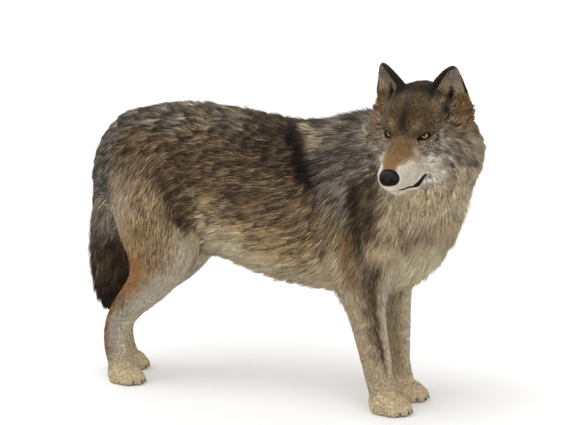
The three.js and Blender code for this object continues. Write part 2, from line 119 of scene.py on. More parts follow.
class Sweep:
    """An elliptical section swept along rows of x, y, z, half width, half
    depth, depth of coat and length of hair."""

    def __init__(self, group, rows, side, blend, lie=1.0, droop=0.0, steps=3):
        self.group, self.blend, self.lie, self.droop = group, blend, lie, droop
        self.rows = smooth_rows(rows, steps)
        self.rows[:, 3:5] = np.maximum(self.rows[:, 3:5], THINNEST)
        self.side = np.asarray(side, float)
        reach = self.rows[:, 3:5].max() + REACH
        self.low = self.rows[:, :3].min(0) - reach
        self.high = self.rows[:, :3].max(0) + reach

    def measure(self, every):
        """Distance, coat depth, hair length and lie of the hair at points."""
        best = np.full(len(every), FAR)
        out = np.zeros((len(every), 5))
        for a, b in zip(self.rows[:-1], self.rows[1:]):
            reach = max(a[3:5].max(), b[3:5].max()) + REACH
            low, high = np.minimum(a[:3], b[:3]) - reach, np.maximum(a[:3], b[:3]) + reach
            close = np.flatnonzero(((every > low) & (every < high)).all(1))
            if len(close) == 0:
                continue
            p = every[close]
            d = b[:3] - a[:3]
            length = np.linalg.norm(d)
            along = d / length
            across = unit(np.cross(along, self.side))
            wide = np.cross(across, along)
            t = np.clip((p - a[:3]) @ d / length ** 2, 0, 1)[:, None]
            q = p - a[:3] - t * d
            row = a[3:] + t * (b[3:] - a[3:])
            ratio = np.sqrt((q @ wide / row[:, 0]) ** 2 + (q @ across / row[:, 1]) ** 2
                            + (q @ along / row[:, :2].min(1)) ** 2) + 1e-9
            far = np.linalg.norm(q, axis=1) * (1 - 1 / ratio)
            near = far < best[close]
            nearer = close[near]
            best[nearer] = far[near]
            out[nearer, :2] = row[near, 2:4]
            out[nearer, 2:] = along * self.lie
        out[:, 4] -= self.droop
        return best, out


class Ball:
    """An ellipsoid with one depth of coat, length of hair and lie."""

    def __init__(self, group, centre, radii, blend, coat, lie, axes=np.eye(3)):
        self.group, self.blend, self.coat, self.axes = group, blend, coat, axes
        self.lie = np.asarray(lie, float)
        self.centre, self.radii = np.asarray(centre, float), np.asarray(radii, float)
        reach = self.radii.max() + REACH
        self.low, self.high = self.centre - reach, self.centre + reach

    def distance(self, p):
        q = (p - self.centre) @ self.axes.T
        ratio = np.sqrt(((q / self.radii) ** 2).sum(1)) + 1e-9
        return np.linalg.norm(q, axis=1) * (1 - 1 / ratio)

    def measure(self, p):
        out = np.empty((len(p), 5))
        out[:] = [*self.coat, *self.lie]
        return self.distance(p), out


def smooth_min(a, b, k):
    near = np.maximum(k - np.abs(a - b), 0) / k
    return np.minimum(a, b) - near * near * k / 4


def smooth_max(a, b, k):
    return -smooth_min(-a, -b, k)


# x, top of the back, underside, half width, coat depth, hair length
TRUNK_ROWS = [
    (-0.400, 0.645, 0.520, 0.055, 0.020, 0.055), (-0.370, 0.688, 0.440, 0.092, 0.022, 0.058),
    (-0.320, 0.722, 0.400, 0.118, 0.024, 0.060), (-0.250, 0.741, 0.370, 0.130, 0.026, 0.062),
    (-0.150, 0.744, 0.354, 0.128, 0.028, 0.062), (-0.050, 0.735, 0.342, 0.136, 0.030, 0.064),
    (0.050, 0.719, 0.312, 0.150, 0.033, 0.068), (0.150, 0.708, 0.293, 0.158, 0.036, 0.072),
    (0.240, 0.710, 0.286, 0.158, 0.038, 0.076), (0.330, 0.722, 0.292, 0.148, 0.040, 0.080),
    (0.400, 0.700, 0.325, 0.120, 0.042, 0.084),
]
NECK_ROWS = [
    (0.220, 0.0, 0.550, 0.145, 0.152, 0.036, 0.074), (0.330, 0.0, 0.585, 0.155, 0.160, 0.040, 0.084),
    (0.420, -0.010, 0.614, 0.150, 0.154, 0.042, 0.086), (0.475, -0.045, 0.648, 0.140, 0.141, 0.038, 0.078),
    (0.500, -0.095, 0.680, 0.110, 0.115, 0.030, 0.060),
]
TAIL_ROWS = [
    (-0.355, 0, 0.660, 0.056, 0.048, 0.020, 0.055), (-0.398, 0, 0.595, 0.062, 0.056, 0.026, 0.065),
    (-0.419, 0, 0.515, 0.066, 0.060, 0.034, 0.080), (-0.424, 0, 0.430, 0.070, 0.064, 0.040, 0.090),
    (-0.427, 0, 0.340, 0.068, 0.062, 0.040, 0.090), (-0.432, 0, 0.265, 0.050, 0.046, 0.030, 0.075),
    (-0.440, 0, 0.190, 0.009, 0.009, 0.004, 0.030),
]
# x, distance from the middle plane, z, half width, half depth, coat, hair
FORELEG_ROWS = [
    (0.300, 0.095, 0.560, 0.060, 0.100, 0.022, 0.050), (0.335, 0.106, 0.460, 0.058, 0.092, 0.020, 0.045),
    (0.328, 0.098, 0.370, 0.048, 0.075, 0.016, 0.040), (0.332, 0.090, 0.300, 0.038, 0.056, 0.010, 0.034),
    (0.346, 0.083, 0.220, 0.032, 0.045, 0.007, 0.027), (0.362, 0.078, 0.140, 0.029, 0.040, 0.005, 0.022),
    (0.370, 0.076, 0.095, 0.028, 0.037, 0.0045, 0.019), (0.384, 0.076, 0.045, 0.031, 0.034, 0.004, 0.016),
]
HINDLEG_ROWS = [
    (-0.270, 0.075, 0.600, 0.060, 0.110, 0.022, 0.055), (-0.252, 0.090, 0.500, 0.062, 0.122, 0.020, 0.048),
    (-0.238, 0.092, 0.410, 0.055, 0.110, 0.015, 0.042), (-0.245, 0.088, 0.335, 0.046, 0.081, 0.010, 0.034),
    (-0.279, 0.083, 0.272, 0.037, 0.056, 0.007, 0.028), (-0.333, 0.079, 0.215, 0.030, 0.042, 0.006, 0.022),
    (-0.370, 0.077, 0.160, 0.027, 0.037, 0.005, 0.019), (-0.379, 0.076, 0.100, 0.026, 0.034, 0.0045, 0.017),
    (-0.366, 0.076, 0.045, 0.028, 0.031, 0.004, 0.015),
]
HIND_STAGGER, FORE_STAGGER = 0.070, 0.016   # how far the left paws stand behind the right ones
HIND_SET_TOP, FORE_SET_TOP = 0.56, 0.26     # above these heights the left legs are not set back
HIND_SCALE = 0.93                           # a hind paw's size against a front paw's
FORE_X, HIND_X, FOOT_Y, TOE_Z = 0.385, -0.366, 0.076, 0.013
TOE_SPREAD = (-0.029, -0.0105, 0.0105, 0.029)
TOE_REACH = (0.036, 0.052, 0.052, 0.036)
TOE_RADIUS = (0.0165, 0.0175, 0.0175, 0.0165)
# heel along the body, side, size
PAWS = [(FORE_X - FORE_STAGGER, 1, 1.0), (FORE_X, -1, 1.0),
        (HIND_X - HIND_STAGGER, 1, HIND_SCALE), (HIND_X, -1, HIND_SCALE)]

# ahead, up, half width, half depth, coat, hair
MUZZLE_ROWS = [
    (-0.020, -0.022, 0.050, 0.054, 0.006, 0.012), (0.030, -0.036, 0.047, 0.052, 0.004, 0.008),
    (0.080, -0.0475, 0.043, 0.0495, 0.003, 0.006), (0.122, -0.0425, 0.037, 0.0365, 0.002, 0.0045),
    (0.140, -0.041, 0.026, 0.029, 0.0015, 0.0035),
]
JAW_ROWS = [
    (-0.040, -0.084, 0.050, 0.034, 0.010, 0.020), (0.020, -0.094, 0.046, 0.024, 0.006, 0.012),
    (0.076, -0.092, 0.033, 0.017, 0.004, 0.007), (0.116, -0.084, 0.022, 0.0135, 0.002, 0.005),
]
# ahead, to the side, up, half width, half thickness
EAR_ROWS = [
    (-0.110, 0.072, 0.005, 0.054, 0.036), (-0.112, 0.071, 0.042, 0.050, 0.030),
    (-0.117, 0.075, 0.068, 0.041, 0.021), (-0.121, 0.082, 0.092, 0.028, 0.013),
    (-0.125, 0.0885, 0.108, 0.015, 0.008), (-0.127, 0.092, 0.1165, 0.0035, 0.003),
]
EAR_TURN = np.radians(28)
EAR_WALL = 0.0065


def trunk_and_neck():
    rows = [(x, 0, (top + under) / 2, half, (top - under) / 2, *coat)
            for x, top, under, half, *coat in TRUNK_ROWS]
    return [
        Sweep("trunk", rows, LEFTWARD, 0.05, lie=-1.0, droop=0.25),
        Sweep("neck", NECK_ROWS, (0, 1, 0.2), 0.07, lie=-0.8, droop=0.45),
        Ball("chest", (0.380, 0, 0.465), (0.112, 0.118, 0.140), 0.07, (0.040, 0.080), (-0.5, 0, -1)),
        Ball("chest", (0.462, 0.005, 0.530), (0.088, 0.108, 0.112), 0.06, (0.042, 0.085), (-0.3, 0, -1)),
    ]


def set_back(side, z, amount, hip):
    """How far a left leg is set back at a height, nothing at the top."""
    return amount * smoothstep(hip, 0.08, z) if side > 0 else 0.0


def leg_form(group, rows, side, stagger, top):
    placed = [(x - set_back(side, z, stagger, top), side * y, z, *rest) for x, y, z, *rest in rows]
    return Sweep(group, placed, LEFTWARD, 0.05)


def leg_forms(side):
    return [leg_form("foreleg", FORELEG_ROWS, side, FORE_STAGGER, FORE_SET_TOP),
            leg_form("hindleg", HINDLEG_ROWS, side, HIND_STAGGER, HIND_SET_TOP)]


def paw_forms(heel, side, scale):
    forms = [Ball("paw", (heel + 0.002, side * FOOT_Y, 0.020), (0.040 * scale, 0.037 * scale, 0.032),
                  0.02, (0.0035, 0.011), (0.8, 0, -0.6))]
    for spread, reach, radius in zip(TOE_SPREAD, TOE_REACH, TOE_RADIUS):
        r = radius * scale
        x, y = heel + 0.004 + reach * scale, side * FOOT_Y + spread * scale
        rows = [(heel + 0.009, y - 0.3 * spread * scale, TOE_Z + 0.008, r, r * 1.25, 0.003, 0.010),
                (x - 0.4 * reach * scale, y - 0.05 * spread, TOE_Z + 0.008, r, r * 1.4, 0.003, 0.010),
                (x, y, TOE_Z, r * 0.9, r, 0.002, 0.007)]
        forms.append(Sweep("paw", rows, LEFTWARD, 0.009, droop=0.5, steps=2))
    return forms


def along_head(rows):
    return [(*in_head((ahead, 0, up)), *rest) for ahead, up, *rest in rows]


def head_forms():
    back = -HEAD[0]
    forms = [
        Ball("crown", in_head((-0.082, 0, 0.014)), (0.086, 0.072, 0.061), 0.05, (0.010, 0.024), back, HEAD),
        Ball("nape", in_head((-0.138, 0, 0.004)), (0.050, 0.070, 0.048), 0.04, (0.014, 0.034),
             back + 0.3 * HEAD[2], HEAD),
        Ball("crown", in_head((-0.024, 0, 0.016)), (0.050, 0.056, 0.044), 0.03, (0.005, 0.012), back, HEAD),
        Sweep("muzzle", along_head(MUZZLE_ROWS), HEAD[1], 0.02, lie=-1.0),
        Sweep("muzzle", along_head(JAW_ROWS), HEAD[1], 0.012, lie=-1.0),
    ]
    for s in (1, -1):
        forms.append(Ball("muzzle", in_head((0.038, s * 0.031, -0.087)), (0.056, 0.021, 0.024), 0.02,
                          (0.003, 0.007), back, HEAD))
        cheek_lie = back + s * 0.35 * HEAD[1] - 0.25 * HEAD[2]
        ruff_lie = 0.6 * back + s * 0.4 * HEAD[1] - 0.9 * HEAD[2]
        forms.append(Ball("cheek", in_head((-0.036, s * 0.040, -0.045)), (0.064, 0.036, 0.058), 0.03,
                          (0.009, 0.024), cheek_lie, HEAD))
        forms.append(Ball("cheek", in_head((-0.024, s * 0.048, -0.094)), (0.052, 0.036, 0.036), 0.03,
                          (0.010, 0.028), back + s * 0.6 * HEAD[1] - 0.25 * HEAD[2], HEAD))
        forms.append(Ball("ruff", in_head((-0.098, s * 0.087, -0.078)), (0.060, 0.058, 0.086), 0.05,
                          (0.034, 0.066), ruff_lie, HEAD))
        forms.append(Ball("nape", in_head((-0.142, s * 0.080, -0.012)), (0.034, 0.030, 0.048), 0.03,
                          (0.008, 0.016), 0.5 * back - HEAD[2], HEAD))
    return forms


class Ear:
    """A leaf, round behind, with a hollow cut into its front."""

    group, blend = "ear", 0.014

    def __init__(self, side):
        self.face = np.cos(EAR_TURN) * HEAD[0] + side * np.sin(EAR_TURN) * HEAD[1]
        wide = np.cos(EAR_TURN) * HEAD[1] - side * np.sin(EAR_TURN) * HEAD[0]
        outer, hollow = [], []
        for ahead, left, up, half, thick in EAR_ROWS:
            centre = in_head((ahead, side * left, up))
            outer.append((*centre, half, thick, 0.0012, 0.010))
            inner = np.maximum([half - EAR_WALL, thick - 0.002], 0.0015)
            shift = self.face * (thick * 0.48 + 0.002) - HEAD[2] * 0.004
            hollow.append((*(centre + shift), *inner, 0, 0))
        self.outer = Sweep("ear", outer, wide, 0.014)
        self.hollow = Sweep("ear", hollow, wide, 0.014)
        self.low, self.high = self.outer.low, self.outer.high

    def measure(self, p):
        d, out = self.outer.measure(p)
        return smooth_max(d, -self.hollow.measure(p)[0], 0.004), out


def all_forms():
    forms = trunk_and_neck()
    for side in (1, -1):
        forms += leg_forms(side)
    forms.append(Sweep("tail", TAIL_ROWS, LEFTWARD, 0.03, lie=1.0))
    for heel, side, scale in PAWS:
        forms += paw_forms(heel, side, scale)
    forms += head_forms()
    forms += [Ear(1), Ear(-1)]
    return forms


FORMS = all_forms()
GROUPS = sorted({form.group for form in FORMS})
CHUNK = 12000                   # points worked out together
SHARING = 0.018                 # distance over which neighbouring forms share coat and lie
EAR_HOLD = 5                    # how strongly the thin ears keep their own short coat
FACE_REACH = 0.2                # the face's features lie this near the eyes
FLOOR_CLEAR = 0.0004            # gap between the soles and the floor
STRIDE = 0.002                  # most that one round of settling moves a point


class Field:
    """The coat's outline, and the skin a coat's depth inside it."""

    def outline(self, p, full=False):
        """Distance from the coat's outline, with coat depth, length and lie, and
        when full each group's share in them."""
        chunks = np.array_split(p, len(p) // CHUNK + 1)
        with ThreadPoolExecutor() as pool:
            parts = list(pool.map(lambda part: self.outline_chunk(part, full), chunks))
        return tuple(np.concatenate(column) for column in zip(*parts))

    def outline_chunk(self, p, full):
        d = np.full(len(p), FAR)
        weights = np.zeros(len(p)) + 1e-12
        mixed = np.zeros((len(p), 5))
        shares = np.zeros((len(p), len(GROUPS))) if full else None
        for form in FORMS:
            near = np.flatnonzero(((p >= form.low) & (p <= form.high)).all(1))
            if len(near) == 0:
                continue
            far, out = form.measure(p[near])
            d[near] = smooth_min(d[near], far, form.blend)
            w = np.exp(-np.clip(far, -0.2, 0.2) / SHARING) * (EAR_HOLD if form.group == "ear" else 1)
            weights[near] += w
            mixed[near] += w[:, None] * out
            if full:
                shares[near, GROUPS.index(form.group)] += w
        mixed /= weights[:, None]
        return (d, mixed, shares / weights[:, None]) if full else (d, mixed)

    def skin(self, p):
        """Distance from the skin, cut off flat above the floor."""
        d, mixed = self.outline(p)
        d = d + mixed[:, 0]
        face = ((p > BETWEEN_EYES - FACE_REACH) & (p < BETWEEN_EYES + FACE_REACH)).all(1)
        if face.any():
            d[face] = carve_face(from_head(p[face]), d[face])
        return np.maximum(d, -p[:, 2] + FLOOR_CLEAR)

    def slope(self, p, step=0.0012):
        """Distance from the skin, and how it changes along each axis."""
        d = self.skin(p)
        axes = np.eye(3) * step
        return d, np.stack([(self.skin(p + axis) - d) / step for axis in axes], 1)

    def settle(self, p, rounds=2):
        """Points moved onto the skin."""
        for _ in range(rounds):
            d, g = self.slope(p)
            step = np.clip(d, -STRIDE, STRIDE) / np.maximum((g * g).sum(1), 0.4)
            p = p - g * step[:, None]
        return p


# ------------------------------------------------------- the face's features

LID = 0.0022                     # how far the lids stand off the eyeball
LID_OUT = np.radians(34)         # the lids face this far outward
LID_TILT = np.radians(5)         # inner corner lower than the outer
OPENING_HALF, OPENING_TOP, OPENING_LOW = 0.0185, 0.0064, 0.0054
MOUTH_BACK = (0.034, 0.048, -0.103)
MOUTH_FRONT = (0.138, 0.0, -0.072)
MOUTH_SAG = 0.003
FLEW_FRONT = (0.088, 0.038, -0.088)         # the bare edge of the upper lip near its corner
FLEW_BACK = (0.036, 0.049, -0.094)
FLEW_BREADTH = 0.0075
EYE_REACH = 0.045                # the socket, lids and brow lie this near the eye's centre
SOCKET_RADII = (0.017, 0.021, 0.014)
SOCKET_OUT, SOCKET_UP = 0.026, 0.001
BROW_OUT, BROW_UP, BROW_ASIDE, BROW_RADIUS = 0.010, 0.0155, 0.002, 0.010
LIP_GAP, CORNER_GAP = 0.0016, 0.0012        # half height of the mouth's line, and more at its corner
LIP_BREADTH = 0.0040                        # half height of the bare skin along it


def eye_frame(side):
    """Out of the eye, toward its outer corner, and up, on the head's axes."""
    out = np.array([np.cos(LID_OUT), side * np.sin(LID_OUT), 0.05])
    out = unit(out)
    corner = unit(np.array([-np.sin(LID_OUT), side * np.cos(LID_OUT), np.tan(LID_TILT)]))
    corner = unit(corner - out * (corner @ out))
    return out, corner, np.cross(out, corner) * side


def opening(q, side):
    """Distance from the almond opening between the lids, negative inside."""
    out, corner, up = eye_frame(side)
    q = q - EYE * (1, side, 1)
    u, v, w = q @ corner, q @ up, q @ out
    scale = EYE_RADIUS / np.maximum(w, 0.004)
    u, v = u * scale * 0.92, v * scale
    s = np.clip(u / OPENING_HALF, -1.4, 1.4)
    lift = np.maximum(1 - np.abs(s) ** 1.8, -0.6)
    upper = OPENING_TOP * lift * (1 + 0.15 * s)
    lower = -OPENING_LOW * lift * (1 - 0.25 * s)
    return np.where(w > 0.002, np.maximum(v - upper, lower - v), 0.02)


def mouth_line(q):
    """Distance from the closed mouth's line, and place along it."""
    t = np.clip((MOUTH_FRONT[0] - q[:, 0]) / (MOUTH_FRONT[0] - MOUTH_BACK[0]), 0, 1)
    up = MOUTH_FRONT[2] + (MOUTH_BACK[2] - MOUTH_FRONT[2]) * t - MOUTH_SAG * np.sin(np.pi * t)
    past = np.maximum(MOUTH_BACK[0] - q[:, 0], 0)
    return np.hypot(q[:, 2] - up, past), t


def carve_face(q, d):
    """Sockets, lids and mouth line added to the face's surface. The mouth's line has
    no limit across the head, so it parts the lower jaw from the muzzle."""
    for side in (1, -1):
        r = q - EYE * (1, side, 1)
        close = (r * r).sum(1) < EYE_REACH ** 2
        if not close.any():
            continue
        out, corner, up = eye_frame(side)
        rc = r[close]
        hollow = np.linalg.norm((rc - out * SOCKET_OUT - up * SOCKET_UP) / SOCKET_RADII, axis=1) - 1
        e = smooth_max(d[close], -hollow * 0.015, 0.010)
        lids = np.linalg.norm(rc, axis=1) - EYE_RADIUS - LID
        e = smooth_min(e, lids, 0.007)
        brow = (rc - out * BROW_OUT - up * BROW_UP - corner * BROW_ASIDE) / (1.0, 1.0, 0.42)
        e = smooth_min(e, np.linalg.norm(brow, axis=1) - BROW_RADIUS, 0.012)
        d[close] = smooth_max(e, -opening(q[close], side), 0.0012)
    front = q[:, 0] > 0.0
    gap, t = mouth_line(q[front])
    groove = gap - LIP_GAP - CORNER_GAP * smoothstep(0.7, 1.0, t)
    d[front] = smooth_max(d[front], -groove, 0.002)
    return d


FIELD = Field()

# --------------------------------------------------------------- the skin

BODY_STEP = 0.0065               # size of the skin's faces on the body
HEAD_STEP = 0.0028               # on the head and paws
MUZZLE_STEP = 0.0017
EYE_STEP = 0.0011
SETTLED = 0.004                  # patches with smaller faces than this are settled
DIP = 0.003                      # how far a patch dips under its neighbour's edge


def polygonise(distance, low, high, step, to_body=None):
    """Surface nets over a box: shared vertices and quads, outside facing out."""
    block = 4
    counts = np.ceil((high - low) / step).astype(int) + 1
    blocks = (counts + block - 1) // block + 1
    place = to_body or (lambda q: q)
    corner = [low[i] + np.arange(blocks[i]) * block * step for i in range(3)]
    grid = np.stack(np.meshgrid(*corner, indexing="ij"), -1).reshape(-1, 3)
    rough = distance(place(grid)).reshape(blocks)
    near = np.abs(rough) < block * step * 1.25
    size = blocks * block
    value = np.ones(tuple(size), np.float32)
    value[:] = np.repeat(np.repeat(np.repeat(np.sign(rough), block, 0), block, 1), block, 2)
    inner = blocks - 1
    busy = np.zeros(tuple(inner), bool)
    for i, j, k in np.ndindex(2, 2, 2):
        busy |= near[i:i + inner[0], j:j + inner[1], k:k + inner[2]]
    within = np.stack(np.meshgrid(*[np.arange(block)] * 3, indexing="ij"), -1).reshape(-1, 3)
    cells = (np.argwhere(busy)[:, None] * block + within).reshape(-1, 3)
    value[tuple(cells.T)] = distance(place(low + cells * step))
    for axis in range(3):
        edge = [slice(None)] * 3
        for end in (0, -1):
            edge[axis] = end
            value[tuple(edge)] = np.maximum(value[tuple(edge)], step)
    vertices, quads = nets(value)
    return place(low + step * vertices), quads


def nets(value):
    """Vertices and quads between the grid's inside values, below nothing, and the rest."""
    inside = value < 0
    n = np.array(value.shape) - 1
    crossings = np.zeros(tuple(n), np.int32)
    total = np.zeros(tuple(n) + (3,), np.float32)

    def part(array, o):
        return array[o[0]:o[0] + n[0], o[1]:o[1] + n[1], o[2]:o[2] + n[2]]

    for a in np.ndindex(2, 2, 2):
        for axis in range(3):
            if a[axis]:
                continue
            b = tuple(v + (i == axis) for i, v in enumerate(a))
            va, vb = part(value, a), part(value, b)
            cut = part(inside, a) != part(inside, b)
            t = np.where(cut, va / np.where(cut, va - vb, 1), 0)
            crossings += cut
            for i in range(3):
                total[..., i] += cut * (a[i] + (t if i == axis else 0))
    active = crossings > 0
    index = -np.ones(tuple(n), np.int64)
    index[active] = np.arange(active.sum())
    vertices = np.argwhere(active) + total[active] / crossings[active][:, None]
    quads = []
    for axis in range(3):
        u, v = (axis + 1) % 3, (axis + 2) % 3
        first = inside[tuple(slice(0, -1) if i == axis else slice(None) for i in range(3))]
        second = inside[tuple(slice(1, None) if i == axis else slice(None) for i in range(3))]
        edges = np.argwhere(first != second)
        edges = edges[(edges[:, u] > 0) & (edges[:, v] > 0) & (edges[:, u] < n[u]) & (edges[:, v] < n[v])]
        ring = []
        for du, dv in ((1, 1), (0, 1), (0, 0), (1, 0)):
            cell = edges.copy()
            cell[:, u] -= du
            cell[:, v] -= dv
            ring.append(index[tuple(cell.T)])
        ring = np.stack(ring, 1)
        outward = inside[tuple(edges.T)]
        ring[~outward] = ring[~outward][:, ::-1]
        quads.append(ring)
    return vertices, np.vstack(quads)


class Patch:
    """A box, on the body's or the head's axes, in which the skin is drawn with
    its own fineness. Finer patches take over from it where they overlap."""

    def __init__(self, low, high, step, lap, inner=(), on_head=False):
        self.low, self.high = np.array(low, float), np.array(high, float)
        self.step, self.lap, self.inner, self.on_head = step, lap, inner, on_head

    def depth(self, p):
        """How far points are inside the box."""
        q = from_head(p) if self.on_head else p
        return np.minimum(q - self.low, self.high - q).min(1)

    def distance(self, p):
        """The skin inside this box, dipping a little under its neighbours' edges."""
        d = FIELD.skin(p)
        own = self.depth(p)
        d = d + DIP * smoothstep(self.lap / 2, 0, own)
        d = np.maximum(d, -own)
        for patch in self.inner:
            under = patch.depth(p)
            d = d + DIP * smoothstep(patch.lap / 2, patch.lap, under)
            d = np.maximum(d, under - patch.lap)
        return d

    def owns(self, p):
        """Whether points are this patch's own, so that patches meet without a gap."""
        keep = self.depth(p) > self.lap / 2
        for patch in self.inner:
            keep &= patch.depth(p) < patch.lap / 2
        return keep

    def mesh(self):
        place = in_head if self.on_head else (lambda q: q)
        return polygonise(self.distance, self.low - self.step, self.high + self.step, self.step, place)


def skin_patches(fineness):
    """Body, paws, head, muzzle and eyes, each finer than the one before."""
    eyes = [Patch(*sorted_box((-0.024, s * 0.018, -0.024), (0.032, s * 0.078, 0.028)),
                  EYE_STEP * fineness, 0.006, on_head=True) for s in (1, -1)]
    muzzle = Patch((-0.004, -0.058, -0.122), (0.162, 0.058, 0.020),
                   MUZZLE_STEP * fineness, 0.006, eyes, True)
    head = Patch((-0.160, -0.140, -0.165), (0.175, 0.140, 0.165),
                 HEAD_STEP * fineness, 0.030, [muzzle, *eyes], True)
    paws = []
    for heel, side, _ in PAWS:
        y = side * FOOT_Y
        paws.append(Patch((heel - 0.055, y - 0.060, -0.010), (heel + 0.090, y + 0.060, 0.070),
                          HEAD_STEP * fineness, 0.010))
    body = Patch((-0.560, -0.200, -0.020), (0.640, 0.200, 0.840),
                 BODY_STEP * fineness, 0.004, [head, *paws])
    return [body, head, muzzle, *eyes, *paws]


def sorted_box(a, b):
    return np.minimum(a, b), np.maximum(a, b)


def ring_sums(count, index, values):
    """Rows of values added up at each index."""
    return np.stack([np.bincount(index, values[:, i], count) for i in range(values.shape[1])], 1)


class Surface:
    """The whole skin, with the coat's depth, length and lie at every point."""

    def __init__(self, fineness):
        verts, quads, owned, start = [], [], [], 0
        for patch in skin_patches(fineness):
            v, q = patch.mesh()
            if patch.step < SETTLED:
                near = patch.depth(v) > patch.lap / 2
                v[near] = FIELD.settle(v[near], 1)
            verts.append(v)
            quads.append(q + start)
            owned.append(patch.owns(v[q].mean(1)))
            start += len(v)
        self.verts, self.quads = np.vstack(verts), np.vstack(quads)
        self.owned = np.concatenate(owned)
        v, q = self.verts, self.quads
        cross = np.cross(v[q[:, 2]] - v[q[:, 0]], v[q[:, 3]] - v[q[:, 1]])
        self.area = np.linalg.norm(cross, axis=1) / 2
        self.normal = unit(ring_sums(len(v), q.ravel(), np.repeat(cross, 4, 0)))
        _, mixed, self.shares = FIELD.outline(v, full=True)
        self.depth, self.hair = mixed[:, 0], mixed[:, 1]
        self.flow = self.comb(mixed[:, 2:])
        used = q[self.owned]
        self.tree = BVHTree.FromPolygons(v.tolist(), used.tolist())
        self.face_normal = unit(self.normal[used].mean(1))
        self.face_flow = unit(self.flow[used].mean(1))
        self.used = used

    def comb(self, lie):
        """The lie of the coat laid flat on the skin and evened out."""
        for _ in range(5):
            lie = lie - self.normal * (lie * self.normal).sum(1, keepdims=True)
            lie = unit(lie)
            total = lie[self.quads].sum(1)
            lie = lie + 0.5 * ring_sums(len(lie), self.quads.ravel(), np.repeat(total, 4, 0))
        lie = lie - self.normal * (lie * self.normal).sum(1, keepdims=True)
        return unit(lie)

    def nearest(self, points):
        """Points on the skin nearest to these, with the faces they are on."""
        find = self.tree.find_nearest
        hits = [find(p) for p in points.tolist()]
        place = np.array([hit[0][:] for hit in hits])
        return place, np.array([hit[2] for hit in hits])


# ------------------------------------------------------------- the markings

def paint_colour(r, g, b):
    """A colour as it is seen, as the amounts of light that make it."""
    c = np.array([r, g, b], float)
    return np.where(c <= 0.04045, c / 12.92, ((c + 0.055) / 1.055) ** 2.4)


CREAM = paint_colour(0.93, 0.85, 0.70)
WHITE = paint_colour(0.97, 0.94, 0.89)
HOAR = paint_colour(0.79, 0.755, 0.685)
BUFF = paint_colour(0.84, 0.73, 0.55)
GREY = paint_colour(0.76, 0.705, 0.625)
BROWN = paint_colour(0.60, 0.50, 0.38)
TAN = paint_colour(0.70, 0.55, 0.37)
RUST = paint_colour(0.64, 0.45, 0.26)
DARK = paint_colour(0.15, 0.12, 0.095)
UMBER = paint_colour(0.28, 0.22, 0.15)
BLACK = paint_colour(0.045, 0.040, 0.035)


def wobble(p, size, seed):
    """Smooth wandering values from -1 to 1 with features of about a size."""
    rng = np.random.default_rng(seed)
    total = np.zeros(len(p))
    for _ in range(6):
        way = rng.normal(size=3)
        way *= 2 * np.pi / size * rng.uniform(0.6, 1.5) / np.linalg.norm(way)
        total += np.sin(p @ way + rng.uniform(0, 6.28))
    return total / 2.6


def bump(value, centre, reach):
    return np.exp(-((value - centre) / reach) ** 2)


def stripe(points, start, end, reach):
    """1 along the line from start to end, fading over a reach to its sides."""
    way = np.subtract(end, start)
    t = np.clip((points - start) @ way / (way @ way), 0, 1)[:, None]
    return np.exp(-(np.linalg.norm(points - start - t * way, axis=1) / reach) ** 2)


STREAK = 6                       # how many times longer than wide the coat's streaks are
COAT_ALONG, COAT_DOWN = 0.93, 0.36          # the way the trunk's coat lies
# Squeezes the way the coat lies, so that marks become streaks along it.
STREAK_AXES = np.array([[COAT_ALONG / STREAK, 0, -COAT_DOWN], [0, 1, 0],
                        [COAT_DOWN / STREAK, 0, COAT_ALONG]])


